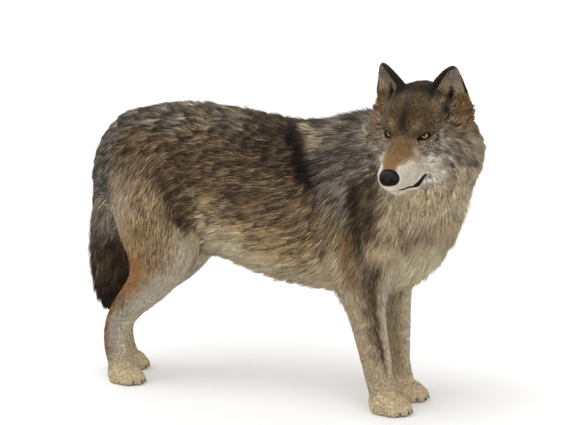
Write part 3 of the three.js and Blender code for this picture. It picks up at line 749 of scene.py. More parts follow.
class Markings:
    """Colour of the pale hair, colour of the dark hair, and the share of dark; some layers are painted shade
    and some painted light.
    """

    def __init__(self, p, shares, normal):
        self.base = np.tile(BUFF, (len(p), 1))
        self.tip = np.tile(DARK, (len(p), 1))
        self.dark = np.full(len(p), 0.25)
        self.share = {name: shares[:, i] for i, name in enumerate(GROUPS)}
        self.p, self.q, self.n = p, from_head(p), normal
        self.profile, self.face_profile = p[:, [0, 2]], self.q[:, [0, 2]]
        self.either = np.stack([self.q[:, 0], np.abs(self.q[:, 1]), self.q[:, 2]], 1)
        self.face_plan = self.either[:, :2]
        self.trunk()
        self.forequarters()
        self.tail()
        self.legs()
        self.head()
        self.face()
        self.ears(np.clip(self.share["ear"] * 1.6, 0, 1))
        self.contrast()

    def layer(self, mask, base, dark, tip):
        m = np.clip(mask, 0, 1)[:, None]
        self.base = self.base + m * (base - self.base)
        self.tip = self.tip + m * (tip - self.tip)
        self.dark = self.dark + m[:, 0] * (dark - self.dark)

    def contrast(self):
        """Pale hair paler where much of it is dark, and dark streaks along the trunk's coat."""
        body = np.clip(self.share["trunk"] + self.share["neck"], 0, 1)
        stretched = self.p @ STREAK_AXES
        streaks = 0.30 * body * wobble(stretched, 0.016, 21)
        self.dark = self.dark + streaks * smoothstep(0.15, 0.45, self.dark)
        self.base = self.base * (1 + 0.12 * body * wobble(stretched, 0.012, 22))[:, None]
        grizzled = smoothstep(0.35, 0.70, self.dark)
        self.base = self.base * (1 + 0.16 * grizzled)[:, None]
        self.dark = self.dark + 0.07 * grizzled

    def trunk(self):
        x, y, z = self.p.T
        rows = np.array(TRUNK_ROWS)
        top, under = np.interp(x, rows[:, 0], rows[:, 1]), np.interp(x, rows[:, 0], rows[:, 2])
        h = (z - under) / (top - under) + 0.05 * wobble(self.p, 0.10, 1)
        outward = smoothstep(0.03, 0.09, np.abs(y))
        self.layer(smoothstep(0.30, 0.10, h), CREAM * 0.88, 0.10, UMBER)
        self.layer(smoothstep(0.10, 0.28, h), BUFF, 0.36, DARK)
        self.layer(smoothstep(0.30, 0.52, h), BROWN, 0.52, DARK)
        self.layer(smoothstep(0.48, 0.74, h), BROWN * 1.15, 0.74, BLACK)
        self.layer(smoothstep(0.80, 1.0, h), GREY * 0.88, 0.72, BLACK)
        saddle = smoothstep(-0.12, 0.08, x) * smoothstep(0.66, 0.90, h)
        self.layer(saddle, BROWN, 0.80, BLACK)
        self.layer(saddle * bump(x, 0.10, 0.10) * 0.7, BROWN * 0.6, 1.0, BLACK)
        groin = stripe(self.profile, (-0.13, 0.42), (0.02, 0.34), 0.055) * outward
        self.layer(groin * 1.2, CREAM * 1.10, 0.02, UMBER)
        haunch = stripe(self.profile, (-0.37, 0.50), (-0.28, 0.47), 0.065)
        haunch += stripe(self.profile, (-0.36, 0.42), (-0.24, 0.38), 0.035)
        self.layer(haunch * 1.3, CREAM * 0.86, 0.12, UMBER)
        streaked = stripe(self.profile, (-0.25, 0.50), (-0.23, 0.34), 0.050)
        self.layer(streaked, BUFF, 0.45, DARK)
        patch = stripe(self.profile, (-0.18, 0.58), (-0.15, 0.45), 0.045)
        self.layer(patch * 1.1, BROWN, 0.78, DARK)
        rump = smoothstep(-0.335, -0.385, x) * smoothstep(0.42, 0.52, z)
        self.layer(rump, GREY * 0.68, 0.68, BLACK)

    def forequarters(self):
        x, y, z = self.p.T
        across = np.abs(y)
        slant = x + 0.3 * (z - 0.62)
        outward = smoothstep(0.04, 0.10, across)
        cape = smoothstep(0.195, 0.230, slant) * smoothstep(0.42, 0.54, z)
        self.layer(cape, GREY * 0.84, 0.58, BLACK)
        withers = cape * smoothstep(0.11, 0.05, across) * smoothstep(0.60, 0.66, z)
        self.layer(withers, GREY * 0.85, 0.58, BLACK)
        # Partly the coat's own dark edge, partly painted shade: a band along the cape's edge, darker than
        # black hair, for the deep shadow between the locks.
        edge = bump(x + 0.75 * (z - 0.62), 0.180, 0.022) * smoothstep(0.54, 0.60, z)
        self.layer(edge * 1.6 * smoothstep(0.02, 0.05, across), UMBER * 0.5, 1.3, BLACK * 0.6)
        pale = stripe(self.profile, (0.150, 0.715), (0.215, 0.672), 0.014)
        self.layer(pale * 1.3 * smoothstep(0.02, 0.05, across), CREAM * 0.92, 0.12, UMBER)
        neck_top = bump(x, 0.325, 0.045) * smoothstep(0.60, 0.66, z) * outward
        self.layer(neck_top * 0.9, GREY * 0.60, 0.72, BLACK)
        low_cape = bump(x, 0.25, 0.07) * bump(z, 0.46, 0.06)
        self.layer(low_cape, BUFF * 0.70, 0.55, DARK)
        elbow = bump(x, 0.275, 0.035) * bump(z, 0.375, 0.05)
        self.layer(elbow * 1.2, CREAM * 0.9, 0.12, UMBER)
        # Painted shade: a near-black line down the crease in front of the shoulder, and on down the top of
        # the leg.
        shoulder_fold_shade = stripe(self.profile, (0.345, 0.58), (0.347, 0.43), 0.015)
        self.layer(shoulder_fold_shade * 1.4 * outward, BROWN * 0.6, 0.96, BLACK)
        lower_fold_shade = stripe(self.profile, (0.349, 0.43), (0.366, 0.30), 0.013)
        self.layer(lower_fold_shade * 1.1 * outward, BROWN * 0.6, 0.80, BLACK)
        neck_side = stripe(self.profile, (0.385, 0.60), (0.375, 0.47), 0.026)
        self.layer(neck_side, BROWN * 0.9, 0.62, DARK)
        throat = smoothstep(0.385, 0.42, x) * smoothstep(0.67, 0.60, z)
        self.layer(throat, CREAM * 0.97, 0.16, UMBER)
        collar_height = 0.470 - 0.35 * (x - 0.42)
        collar = bump(z + 0.02 * wobble(self.p, 0.1, 2), collar_height, 0.026)
        collar *= smoothstep(0.36, 0.41, x)
        self.layer(collar * 0.40, BUFF * 0.80, 0.40, DARK)
        bib = smoothstep(0.445, 0.415, z + 0.012 * wobble(self.p, 0.08, 3)) * smoothstep(0.355, 0.385, x)
        self.layer(bib * smoothstep(0.30, 0.33, z), CREAM * 1.15 + WHITE * 0.05, 0.01, UMBER)
        nape = np.clip(self.share["neck"] * 1.4, 0, 1) * smoothstep(0.67, 0.73, z)
        self.layer(nape, GREY * 0.66, 0.76, BLACK)

    def tail(self):
        x, _, z = self.p.T
        tail = np.clip(self.share["tail"] * 1.5, 0, 1)
        self.layer(tail, GREY * 0.75, 0.50, DARK)
        self.layer(tail * smoothstep(0.50, 0.40, z), GREY * 0.62, 0.62, DARK)
        inward = x + 0.30 * (0.40 - z)
        front_edge = tail * smoothstep(0.42, 0.32, z) * smoothstep(-0.455, -0.405, inward)
        self.layer(front_edge, BROWN * 0.75, 0.80, BLACK)
        self.layer(tail * smoothstep(0.27, 0.21, z), UMBER * 1.5, 0.82, BLACK)

    def legs(self):
        x, y, z = self.p.T
        ahead = self.n[:, 0]
        speck = 0.15 * wobble(self.p, 0.03, 5)
        low = smoothstep(0.44, 0.34, z)
        hind, fore = (np.clip(self.share[name] * 1.5, 0, 1) for name in ("hindleg", "foreleg"))
        self.layer(hind * low, HOAR, 0.14, UMBER)
        self.layer(hind * low * smoothstep(0.22, 0.32, z), CREAM * 0.82, 0.14, UMBER)
        thigh_side = hind * smoothstep(0.30, 0.34, z) * smoothstep(0.46, 0.42, z)
        thigh_side *= smoothstep(-0.34, -0.28, x)
        self.layer(thigh_side, BUFF * 0.9, 0.36, DARK)
        self.layer(fore * low, CREAM * 0.92, 0.12, UMBER)
        thigh = bump(z + 0.012 * wobble(self.p, 0.07, 6), 0.30, 0.080) * smoothstep(0.20, -0.45, ahead)
        self.layer(hind * thigh * 1.3, RUST * 0.80 + TAN * 0.70, 0.18, UMBER)
        rear = hind * smoothstep(-0.10, -0.50, ahead + speck) * smoothstep(0.29, 0.23, z)
        self.layer(rear * smoothstep(0.04, 0.10, z) * 0.95, RUST * 0.45 + TAN * 0.65, 0.34, UMBER * 0.8)
        # Partly the shin's own pale hair, partly painted light: the hind legs' forward faces lightened for
        # light thrown up from below.
        shin_pale_and_lit = hind * smoothstep(0.0, 0.6, ahead) * smoothstep(0.46, 0.38, z)
        self.layer(shin_pale_and_lit, HOAR * 0.60 + CREAM * 0.50, 0.02, UMBER)
        shin_side = hind * stripe(self.profile, (-0.225, 0.285), (-0.300, 0.205), 0.020)
        self.layer(shin_side, WHITE * 0.42 + CREAM * 0.38, 0.02, UMBER)
        turn = np.degrees(np.arctan2(self.n[:, 1] * np.sign(y), ahead))
        # Painted shade: the legs' inner faces greyer and darker, as the shade between the legs.
        inner = np.maximum(fore, hind) * low * smoothstep(-45, -80, turn)
        self.layer(inner, BUFF * 0.55 + HOAR * 0.35, 0.18, UMBER)
        # Partly the leg's own pale hair, partly painted light: the forelegs' front edge pale, as where it
        # catches the light.
        front_edge = fore * bump(turn, -6, 27) * low
        self.layer(front_edge * 1.3, WHITE * 0.50 + CREAM * 0.45, 0.01, UMBER)
        reach = np.interp(z, (0.12, 0.34), (14, 24))
        front = fore * bump(turn + 50 * speck, 57, reach) * smoothstep(0.09, 0.15, z)
        self.layer(front * smoothstep(0.44, 0.36, z), BROWN * 0.75, 0.64, DARK)
        shoulder = stripe(self.profile, (0.315, 0.44), (0.322, 0.34), 0.022)
        shoulder *= smoothstep(0.04, 0.09, np.abs(y))
        self.layer(shoulder * 0.8, TAN * 0.9, 0.25, UMBER)
        self.layer(np.clip(self.share["paw"] * 1.5, 0, 1), CREAM * 0.95, 0.08, UMBER)

    def head(self):
        ahead, left, up = self.q.T
        side = np.abs(left)
        wander = wobble(self.p, 0.05, 7)
        mine = sum(self.share[name] for name in ("crown", "cheek", "muzzle", "ruff", "nape", "ear"))
        mine = self.mine = smoothstep(0.3, 0.7, mine)
        self.layer(mine, GREY * 0.85, 0.55, BLACK)
        ruff = mine * np.clip(self.share["ruff"] * 1.8, 0, 1)
        self.layer(ruff, GREY * 1.0, 0.42, BLACK)
        pale = ruff * smoothstep(-0.005, -0.085, up + 0.018 * wander) * smoothstep(0.160, 0.115, side)
        self.layer(pale, CREAM * 0.95, 0.14, UMBER)
        crown = mine * smoothstep(-0.010, 0.012, up + 0.004 * wander) * smoothstep(0.085, 0.070, side)
        self.layer(crown, TAN * 0.32, 0.80, UMBER * 0.36)
        parting_width = 0.010 + 0.03 * np.clip(-ahead, 0, 0.2)
        parting = crown * bump(side, 0.0, parting_width) * smoothstep(0.035, 0.015, ahead)
        self.layer(parting * 0.9, UMBER * 0.6, 0.92, BLACK)
        before_ear = stripe(self.either, (-0.055, 0.048, 0.050), (-0.055, 0.070, 0.010), 0.012)
        before_ear += stripe(self.either, (-0.055, 0.070, 0.010), (-0.090, 0.111, -0.055), 0.012)
        self.layer(mine * before_ear, TAN * 0.70, 0.40, DARK)
        behind_ear = stripe(self.either, (-0.115, 0.098, 0.036), (-0.115, 0.114, -0.016), 0.020)
        behind_ear *= smoothstep(-0.052, -0.080, ahead)
        self.layer(mine * behind_ear * 1.2, TAN * 0.50 + RUST * 0.35, 0.38, UMBER * 0.8)
        nape = np.clip(self.share["nape"] * 1.6, 0, 1) * smoothstep(0.080, 0.050, side)
        self.layer(nape, RUST * 0.62, 0.55, DARK)
        # Painted shade: dark hair at the front of the ear's root, where shade falls.
        ear_root_shade = stripe(self.either, (-0.095, 0.050, 0.055), (-0.085, 0.092, 0.005), 0.018)
        self.layer(mine * ear_root_shade, BROWN * 0.4, 0.85, BLACK)
        temple = bump(ahead, -0.055, 0.035) * bump(up, -0.005, 0.024) * smoothstep(0.035, 0.055, side)
        self.layer(mine * temple, GREY * 0.62, 0.60, DARK)

    def face(self):
        mine, (ahead, left, up) = self.mine, self.q.T
        side = np.abs(left)
        wander = wobble(self.p, 0.04, 8)
        below = 0.85 * (ahead - 0.02) - 0.040 - up + 0.005 * wander
        white = smoothstep(-0.008, 0.012, below) * smoothstep(-0.085, -0.045, ahead)
        self.layer(mine * white, WHITE * 0.66 + CREAM * 0.32, 0.02, UMBER)
        jowl = stripe(self.face_profile, (-0.02, -0.120), (-0.07, -0.130), 0.020)
        self.layer(mine * jowl * 0.8, TAN * 1.1, 0.14, UMBER)
        width = np.interp(ahead, (0.0, 0.03, 0.07, 0.105, 0.13), (0.042, 0.044, 0.038, 0.026, 0.017))
        across = side / width + 0.10 * wander
        roof = smoothstep(0.026, 0.058, ahead) * smoothstep(-0.050, -0.032, up)
        self.layer(mine * roof * smoothstep(1.20, 0.90, across), BUFF * 0.76, 0.12, UMBER)
        paler = 1 + 0.28 * smoothstep(0.06, 0.11, ahead)[:, None]
        self.layer(mine * roof * smoothstep(1.00, 0.62, across), TAN * 0.62 * paler, 0.16, UMBER)
        stop = stripe(self.face_profile, (0.0, 0.025), (0.046, -0.004), 0.015)
        stop *= smoothstep(0.034, 0.016, side)
        self.layer(mine * stop * 0.8, BROWN * 0.68, 0.50, DARK)
        under_eye = stripe(self.face_plan, (0.012, 0.040), (-0.02, 0.058), 0.010)
        under_eye *= bump(up, -0.020, 0.012)
        self.layer(mine * under_eye, BUFF * 0.85, 0.34, DARK)
        brow = bump(ahead, 0.006, 0.020) * bump(up, 0.029, 0.013) * bump(side, 0.031, 0.014)
        self.layer(mine * brow * 1.1, BUFF * 0.66, 0.20, UMBER)
        behind_eye = stripe(self.either, (-0.014, 0.058, -0.006), (-0.050, 0.086, -0.034), 0.009)
        self.layer(mine * behind_eye, GREY * 0.50, 0.72, BLACK)
        chin = mine * smoothstep(-0.085, -0.10, up) * smoothstep(0.0, 0.04, ahead)
        self.layer(chin, WHITE, 0.02, UMBER)

    def ears(self, ear):
        ahead, left, up = self.q.T
        rows = np.array(EAR_ROWS)
        plane, middle, half = (np.interp(up, rows[:, 2], rows[:, i]) for i in (0, 1, 3))
        for side in (1, -1):
            mine = ear * (left * side > 0)
            facing = self.n @ (np.cos(EAR_TURN) * HEAD[0] + side * np.sin(EAR_TURN) * HEAD[1])
            forward = (ahead - plane) * np.cos(EAR_TURN) + (left * side - middle) * np.sin(EAR_TURN)
            inside = np.maximum(smoothstep(0.35, 0.65, facing), smoothstep(0.002, 0.008, forward))
            across = (left * side - middle) / half
            inside = inside * (1 - smoothstep(0.086, 0.097, left * side) * smoothstep(0.050, 0.034, up))
            self.layer(mine, TAN * 0.45 + RUST * 0.30, 0.46, UMBER * 0.8)
            self.layer(mine * smoothstep(0.045, 0.09, up), RUST * 0.7, 0.70, DARK)
            self.layer(mine * inside, (GREY + BUFF) * 0.42, 0.20, UMBER)
            self.layer(mine * inside * smoothstep(0.060, 0.10, up), GREY * 0.6, 0.50, DARK)
            # Painted shade in the ear's hollow: darker low in it, near black in its slit and at its inner
            # base.
            self.layer(mine * inside * smoothstep(0.050, 0.025, up), BROWN * 0.5, 0.60, BLACK)
            slit = bump(across, 0.10, 0.14) * bump(up, 0.034, 0.028)
            self.layer(mine * inside * slit * 1.4, UMBER * 0.5, 0.97, BLACK)
            hollow_base_shade = bump(across, -0.55, 0.30) * bump(up, 0.042, 0.018)
            self.layer(mine * hollow_base_shade * 1.5, UMBER * 0.6, 0.95, BLACK)
            rim = smoothstep(0.74, 0.86, np.abs(across)) * smoothstep(0.035, 0.055, up)
            inner_rim = smoothstep(-0.45, -0.70, across) * smoothstep(0.02, 0.04, up)
            self.layer(mine * np.maximum(rim, inner_rim), UMBER * 0.5, 1.2, BLACK)
            self.layer(mine * smoothstep(0.105, 0.120, up), UMBER, 0.95, BLACK)


def bare_skin(q, margin=0.0):
    """Share of black hairless skin: eyelids, inner corners, lips and round the nose."""
    near = np.zeros(len(q))
    for side in (1, -1):
        gap = opening(q, side)
        r = q - EYE * (1, side, 1)
        along = r @ eye_frame(side)[1]
        rim = margin + 0.0034 + 0.0042 * bump(along, -0.018, 0.008)
        round_eye = smoothstep(rim + 0.0010, rim - 0.0010, gap) * smoothstep(-0.028, -0.024, along)
        near = np.maximum(near, round_eye * ((r * r).sum(1) < 0.034 ** 2))
    gap = mouth_line(q)[0]
    broad = LIP_BREADTH + margin / 2
    lips = smoothstep(broad, broad - 0.0022, gap) * smoothstep(0.0, 0.02, q[:, 0])
    way = np.subtract(FLEW_BACK, FLEW_FRONT)
    r = np.stack([q[:, 0], np.abs(q[:, 1]), q[:, 2]], 1) - FLEW_FRONT
    t = np.clip(r @ way / (way @ way), 0, 1)
    broad = margin + LIP_BREADTH + FLEW_BREADTH * np.sin(np.pi * np.clip(0.12 + 0.72 * t, 0, 1))
    flew = smoothstep(broad, broad - 0.002, np.linalg.norm(r - t[:, None] * way, axis=1))
    lips = np.maximum(lips, flew)
    nose = np.linalg.norm((q - NOSE) / (NOSE_RADII + 0.003), axis=1)
    return np.maximum.reduce([near, lips, smoothstep(1.12, 1.0, nose)])


# ---------------------------------------------------------------- the coat

class Unwrap:
    """Where a point of the skin lies on a flat map: round a form and along it,
    or round a centre and up it."""

    def __init__(self, window, rows=None, side=None, centre=None, axes=np.eye(3)):
        self.window, self.rows, self.side = window, rows, side
        self.centre, self.axes = centre, axes

    def measure(self, p):
        if self.centre is not None:
            q = (p - self.centre) @ self.axes.T
            return np.arctan2(q[:, 1], q[:, 0]), np.arctan2(q[:, 2], np.hypot(q[:, 0], q[:, 1]))
        best = np.full(len(p), FAR)
        round_it, along_it = np.zeros(len(p)), np.zeros(len(p))
        travelled = 0.0
        for a, b in zip(self.rows[:-1, :3], self.rows[1:, :3]):
            d = b - a
            length = np.linalg.norm(d)
            t = np.clip((p - a) @ d / length ** 2, 0, 1)
            q = p - a - t[:, None] * d
            far = np.linalg.norm(q, axis=1)
            across = unit(np.cross(d, self.side))
            wide = np.cross(across, d / length)
            near = far < best
            best[near] = far[near]
            round_it[near] = np.arctan2(q[near] @ wide, q[near] @ across)
            along_it[near] = travelled + t[near] * length
            travelled += length
        return round_it, along_it

    def place(self, p):
        """Map coordinates inside this unwrap's window, as wide as its points need."""
        u0, v0, u1, v1 = self.window
        round_it, along_it = self.measure(p)
        out = []
        for value, low, high in ((round_it, u0, u1), (along_it, v0, v1)):
            value = (value - value.min()) / max(np.ptp(value), 1e-6)
            out.append(low + 0.004 + value * (high - low - 0.008))
        return np.stack(out, 1)


WHOLE_MAP = (0.0, 0.0, 1.0, 1.0)
PATCH = 0.003                    # width of a tuft's patch on the map
ROOT_DEPTH = 0.0012              # how far a tuft starts under the skin
ROOT_FLOOR = 0.004               # nothing grows lower than this
TUFT_FLOOR = 0.0008              # and no hair hangs lower than this
LENGTH_SPREAD = 0.14             # how much tufts differ in length
WIDEST = 0.32                    # a tuft's greatest width against its length
ROLL_SPREAD = 0.45               # how far tufts turn about their own length
LEAST_FREE = 0.3                 # tufts with less room than this before bare skin are left out
RING_CORNERS = ((1, -0.18), (-1, -0.18), (0, 0.42))     # across and up, in half widths
# A spindle's faces: root, a ring of three and the tip.
SPINDLE = np.array([(0, 2, 1), (0, 3, 2), (0, 1, 3), (1, 2, 4), (2, 3, 4), (3, 1, 4)])


class Tufts:
    """The tufts of one piece of the coat."""

    def __init__(self, surface, faces, weights, count, style, rng):
        self.surface, self.style, self.rng = surface, style, rng
        self.stations = (style["ring"], 1.0)
        picks = self.scatter(weights, count)
        chosen = faces[picks]
        area = surface.area[surface.owned][chosen]
        spacing = np.sqrt(area / np.maximum(weights[picks] / weights.sum() * count, 1e-9))
        quad = surface.verts[surface.used[chosen]]
        u, v = rng.random((2, len(chosen), 1))
        bottom = quad[:, 0] * (1 - u) + quad[:, 1] * u
        top = quad[:, 3] * (1 - u) + quad[:, 2] * u
        self.root = bottom * (1 - v) + top * v
        keep = self.root[:, 2] > ROOT_FLOOR
        keep &= rng.random(len(keep)) > bare_skin(from_head(self.root)) * 1.5
        self.root, self.face, self.spacing = self.root[keep], chosen[keep], spacing[keep]

    def scatter(self, weights, count):
        """Picks faces in even steps of their weights."""
        ends = np.cumsum(weights) / weights.sum() * count
        marks = np.arange(count) + self.rng.random(count)
        return np.searchsorted(ends, np.minimum(marks, ends[-1] - 1e-6))

    def over_faces(self, values):
        """Values at the skin's corners, averaged on each tuft's own face."""
        return values[self.surface.used[self.face]].mean(1)

    def grow(self):
        """The middle of each tuft's ring, and its tip, laid along the body."""
        s, rng, style = self.surface, self.rng, self.style
        n = len(self.root)
        clump = rng.normal(size=n)
        depth = self.over_faces(s.depth)
        hair = self.over_faces(s.hair) * style["length"]
        if style["face"]:
            to_eye = np.linalg.norm(from_head(self.root) * (1, 0, 1) - EYE * (1, 0, 1), axis=1)
            hair *= 0.35 + 0.65 * smoothstep(0.020, 0.045, to_eye)
        length = hair * np.clip(1 + LENGTH_SPREAD * rng.normal(size=n), 0.6, 1.4)
        height = depth * np.clip(1 + style["ragged"] * rng.normal(size=n), 0.3, 1.45)
        height = np.minimum(height, length * 0.9)
        normal, flow = s.face_normal[self.face], s.face_flow[self.face]
        swerve = (style["swerve"] * rng.normal(size=n))[:, None]
        flow = unit(flow + swerve * np.cross(normal, flow))
        reach = np.sqrt(length ** 2 - height ** 2)
        if style["face"]:
            free = self.free_part(flow, reach)
            kept = free > LEAST_FREE
            self.root, self.face, self.spacing = self.root[kept], self.face[kept], self.spacing[kept]
            clump, normal, flow, free = clump[kept], normal[kept], flow[kept], free[kept]
            reach, height, length = reach[kept] * free, height[kept] * np.sqrt(free), length[kept] * free
        place, face = self.root, self.face
        self.centres = []
        last = 0.0
        for t in self.stations:
            step = (reach * (t - last))[:, None]
            place, face = s.nearest(place + flow * step)
            normal = unit(normal + 2 * s.face_normal[face])
            turned = flow + 0.35 * s.face_flow[face]
            flow = unit(turned - normal * (turned * normal).sum(1, keepdims=True))
            lift = height * (1 - (1 - t) ** 1.7) - 0.0006 * (1 - t)
            self.centres.append(place + normal * lift[:, None])
            if last == 0.0:
                self.normal, self.flow = normal, flow
            last = t
        self.gather(clump)
        self.length = length

    def free_part(self, flow, reach):
        """How much of its reach each tuft has before it would lie over bare skin."""
        free = np.ones(len(reach))
        for part in (1.0, 0.84, 0.68, 0.52, 0.36, 0.20):
            ahead = from_head(self.root + flow * (reach * part)[:, None])
            free[bare_skin(ahead, 0.0022) > 0.25] = max(part - 0.16, 0.12)
        return free

    def gather(self, clump):
        """Draws tufts together toward the tips of the leaders among them."""
        lead_gap = self.style["lock"]
        share = np.clip(self.spacing ** 2 / lead_gap ** 2, 0.002, 1)
        leads = np.flatnonzero(self.rng.random(len(self.root)) < share)
        tree = KDTree(len(leads))
        for i, place in enumerate(self.root[leads].tolist()):
            tree.insert(place, i)
        tree.balance()
        mine = leads[np.array([tree.find(p)[1] for p in self.root.tolist()])]
        self.lock = clump[mine]
        apart = np.linalg.norm(self.root - self.root[mine], axis=1)
        pull = self.style["gather"] * smoothstep(2.6 * lead_gap, 1.2 * lead_gap, apart)
        for k, t in enumerate(self.stations):
            draw = (pull * t ** 1.8)[:, None]
            self.centres[k] = self.centres[k] + draw * (self.centres[k][mine] - self.centres[k])

    def mesh(self, unwraps):
        """Closed three-sided spindles, their colours and their places on the map."""
        rng, n = self.rng, len(self.root)
        width = np.minimum(self.spacing * self.style["width"], WIDEST * self.length)
        width *= rng.uniform(0.75, 1.25, n)
        roll = rng.normal(size=n) * ROLL_SPREAD
        across = np.cross(self.normal, self.flow)
        wide = across * np.cos(roll)[:, None] + self.normal * np.sin(roll)[:, None]
        up = self.normal * np.cos(roll)[:, None] - across * np.sin(roll)[:, None]
        half = (width / 2)[:, None]
        middle, tip = self.centres
        ring = [middle + half * (a * wide + b * up) for a, b in RING_CORNERS]
        root = self.root - self.surface.face_normal[self.face] * ROOT_DEPTH
        verts = np.stack([root, *ring, tip], 1)
        verts[..., 2] = np.maximum(verts[..., 2], TUFT_FLOOR)
        tris = (SPINDLE[None] + (np.arange(n) * verts.shape[1])[:, None, None]).reshape(-1, 3)
        along = np.array([0.0, *[self.stations[0]] * 3, 1.0])
        corner = np.array([0, 0, 1, 2, 0])
        colours = self.colours(along)
        uv = self.map_places(unwraps)[:, None] + PATCH * np.stack([(corner - 1) * 0.33, along - 0.5], -1)
        return verts.reshape(-1, 3), tris, colours.reshape(-1, 3), uv.reshape(-1, 2)

    def map_places(self, unwraps):
        """Where each root lies on the flat map."""
        place = np.zeros((len(self.root), 2))
        for chooses, unwrap in unwraps:
            mine = chooses(self.root)
            if mine.any():
                place[mine] = unwrap.place(self.root[mine])
        return place

    def colours(self, along):
        """Pale or dark hair by the markings, darkened at the root with painted shade, whole locks alike."""
        rng, n = self.rng, len(self.root)
        shown = self.root + 0.75 * (self.centres[-1] - self.root)
        marks = Markings(shown, self.over_faces(self.surface.shares), self.surface.face_normal[self.face])
        common = self.style["common"]
        fate = common * self.lock + np.sqrt(1 - common ** 2) * rng.normal(size=n)
        rank = 0.5 + 0.5 * np.tanh(0.8 * fate)
        dark = smoothstep(-0.14, 0.14, marks.dark - rank)[:, None]
        shade = 1 + 0.20 * common * self.lock + 0.11 * rng.normal(size=n)
        shade = np.clip(shade, 0.5, 1.5)[:, None, None]
        base, tip = marks.base[:, None], marks.tip[:, None]
        t = along[None, :, None]
        # Painted shade: the root darker than the tip, and darker still where the hair is dark.
        deep = self.style["deep"] - 0.4 * np.clip(marks.dark, 0, 1)[:, None, None]
        body = base * (deep + (1 - deep) * smoothstep(0.0, 0.5, t))
        ink = dark[:, None] * smoothstep(0.20, 0.90, t)
        colour = body + ink * (tip - body)
        return np.clip(colour * shade, 0.003, 0.95)


@lru_cache(maxsize=1)
def surface():
    return Surface(bpy.context.scene.wolf_skin.fineness)


@lru_cache(maxsize=1)
def shift():
    """From the places used here to the frame, whose origin is under the body's middle."""
    low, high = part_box("eye_left")
    return (np.array(low) + np.array(high)) / 2 - in_head(EYE)


# ------------------------------------------------------------ mesh building

def make_object(name, verts, faces, smooth=True):
    mesh = bpy.data.meshes.new(name)
    mesh.from_pydata((verts + shift()).tolist(), [], faces.tolist())
    if smooth:
        mesh.shade_smooth()
    obj = bpy.data.objects.new(name, mesh)
    bpy.context.scene.collection.objects.link(obj)
    return obj


def colour_points(obj, name, colours):
    layer = obj.data.color_attributes.new(name, "FLOAT_COLOR", "POINT")
    layer.data.foreach_set("color", np.hstack([colours, np.ones((len(colours), 1))]).ravel())


def value_points(obj, name, values):
    obj.data.attributes.new(name, "FLOAT", "POINT").data.foreach_set("value", np.asarray(values, np.float32))


def map_points(obj, uv):
    layer = obj.data.uv_layers.new(name="OFBake")
    loops = np.empty(len(obj.data.loops), np.int32)
    obj.data.loops.foreach_get("vertex_index", loops)
    layer.data.foreach_set("uv", uv[loops].ravel())


def finish_piece(obj, material, slot, *nodes):
    obj.data.materials.append(material)
    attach(obj, "root")
    if nodes:
        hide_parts(*nodes)
    return obj


# ---------------------------------------------------------------- materials

class Nodes:
    """Short ways to add and join the nodes of one material."""

    def __init__(self, name, roughness, **sockets):
        self.material = bpy.data.materials.new(name)
        self.material.use_nodes = True
        self.tree = self.material.node_tree
        self.shader = self.tree.nodes["Principled BSDF"]
        self.shader.inputs["Roughness"].default_value = roughness
        for key, value in sockets.items():
            self.shader.inputs[key.replace("_", " ")].default_value = value

    def add(self, kind, **values):
        node = self.tree.nodes.new("ShaderNode" + kind)
        for key, value in values.items():
            if key in node.inputs:
                node.inputs[key].default_value = value
            else:
                setattr(node, key, value)
        return node

    def join(self, source, target):
        self.tree.links.new(source, target)
        return self

    def attribute(self, name, output="Color"):
        return self.add("Attribute", attribute_name=name).outputs[output]

    def noise(self, scale, detail=3.0):
        place = self.add("TexCoord")
        noise = self.add("TexNoise", Scale=scale, Detail=detail)
        self.join(place.outputs["Object"], noise.inputs["Vector"])
        return noise.outputs["Fac"]

    def spread(self, source, low, high):
        """The source's middle range turned to values from low to high."""
        node = self.add("MapRange")
        for key, value in (("From Min", 0.3), ("From Max", 0.7), ("To Min", low), ("To Max", high)):
            node.inputs[key].default_value = value
        self.join(source, node.inputs["Value"])
        return node.outputs["Result"]

    def tinted(self, colour, source, low, high):
        """A colour made darker and lighter by a source."""
        node = self.add("VectorMath", operation="SCALE")
        self.join(colour, node.inputs[0])
        self.join(self.spread(source, low, high), node.inputs["Scale"])
        return node.outputs[0]

    def ramp(self, source, *stops):
        node = self.add("ValToRGB")
        ramp = node.color_ramp
        while len(ramp.elements) < len(stops):
            ramp.elements.new(0.5)
        for element, (place, colour) in zip(ramp.elements, stops):
            element.position = place
            element.color = (*colour, 1)
        self.join(source, node.inputs["Fac"])
        return node.outputs["Color"]

    def base(self, colour):
        return self.join(colour, self.shader.inputs["Base Color"])

    def bump(self, height, strength, distance):
        node = self.add("Bump", Strength=strength, Distance=distance)
        self.join(height, node.inputs["Height"])
        return self.join(node.outputs["Normal"], self.shader.inputs["Normal"])


def coat_material():
    nodes = Nodes("coat_hair", 0.72, Specular_IOR_Level=0.22)
    return nodes.base(nodes.tinted(nodes.attribute("tone"), nodes.noise(160), 0.86, 1.14)).material


def skin_material():
    nodes = Nodes("skin_hair", 0.8, Specular_IOR_Level=0.2)
    nodes.base(nodes.tinted(nodes.attribute("tone"), nodes.noise(420), 0.78, 1.18))
    return nodes.bump(nodes.noise(900, 2.0), 0.5, 0.0008).material


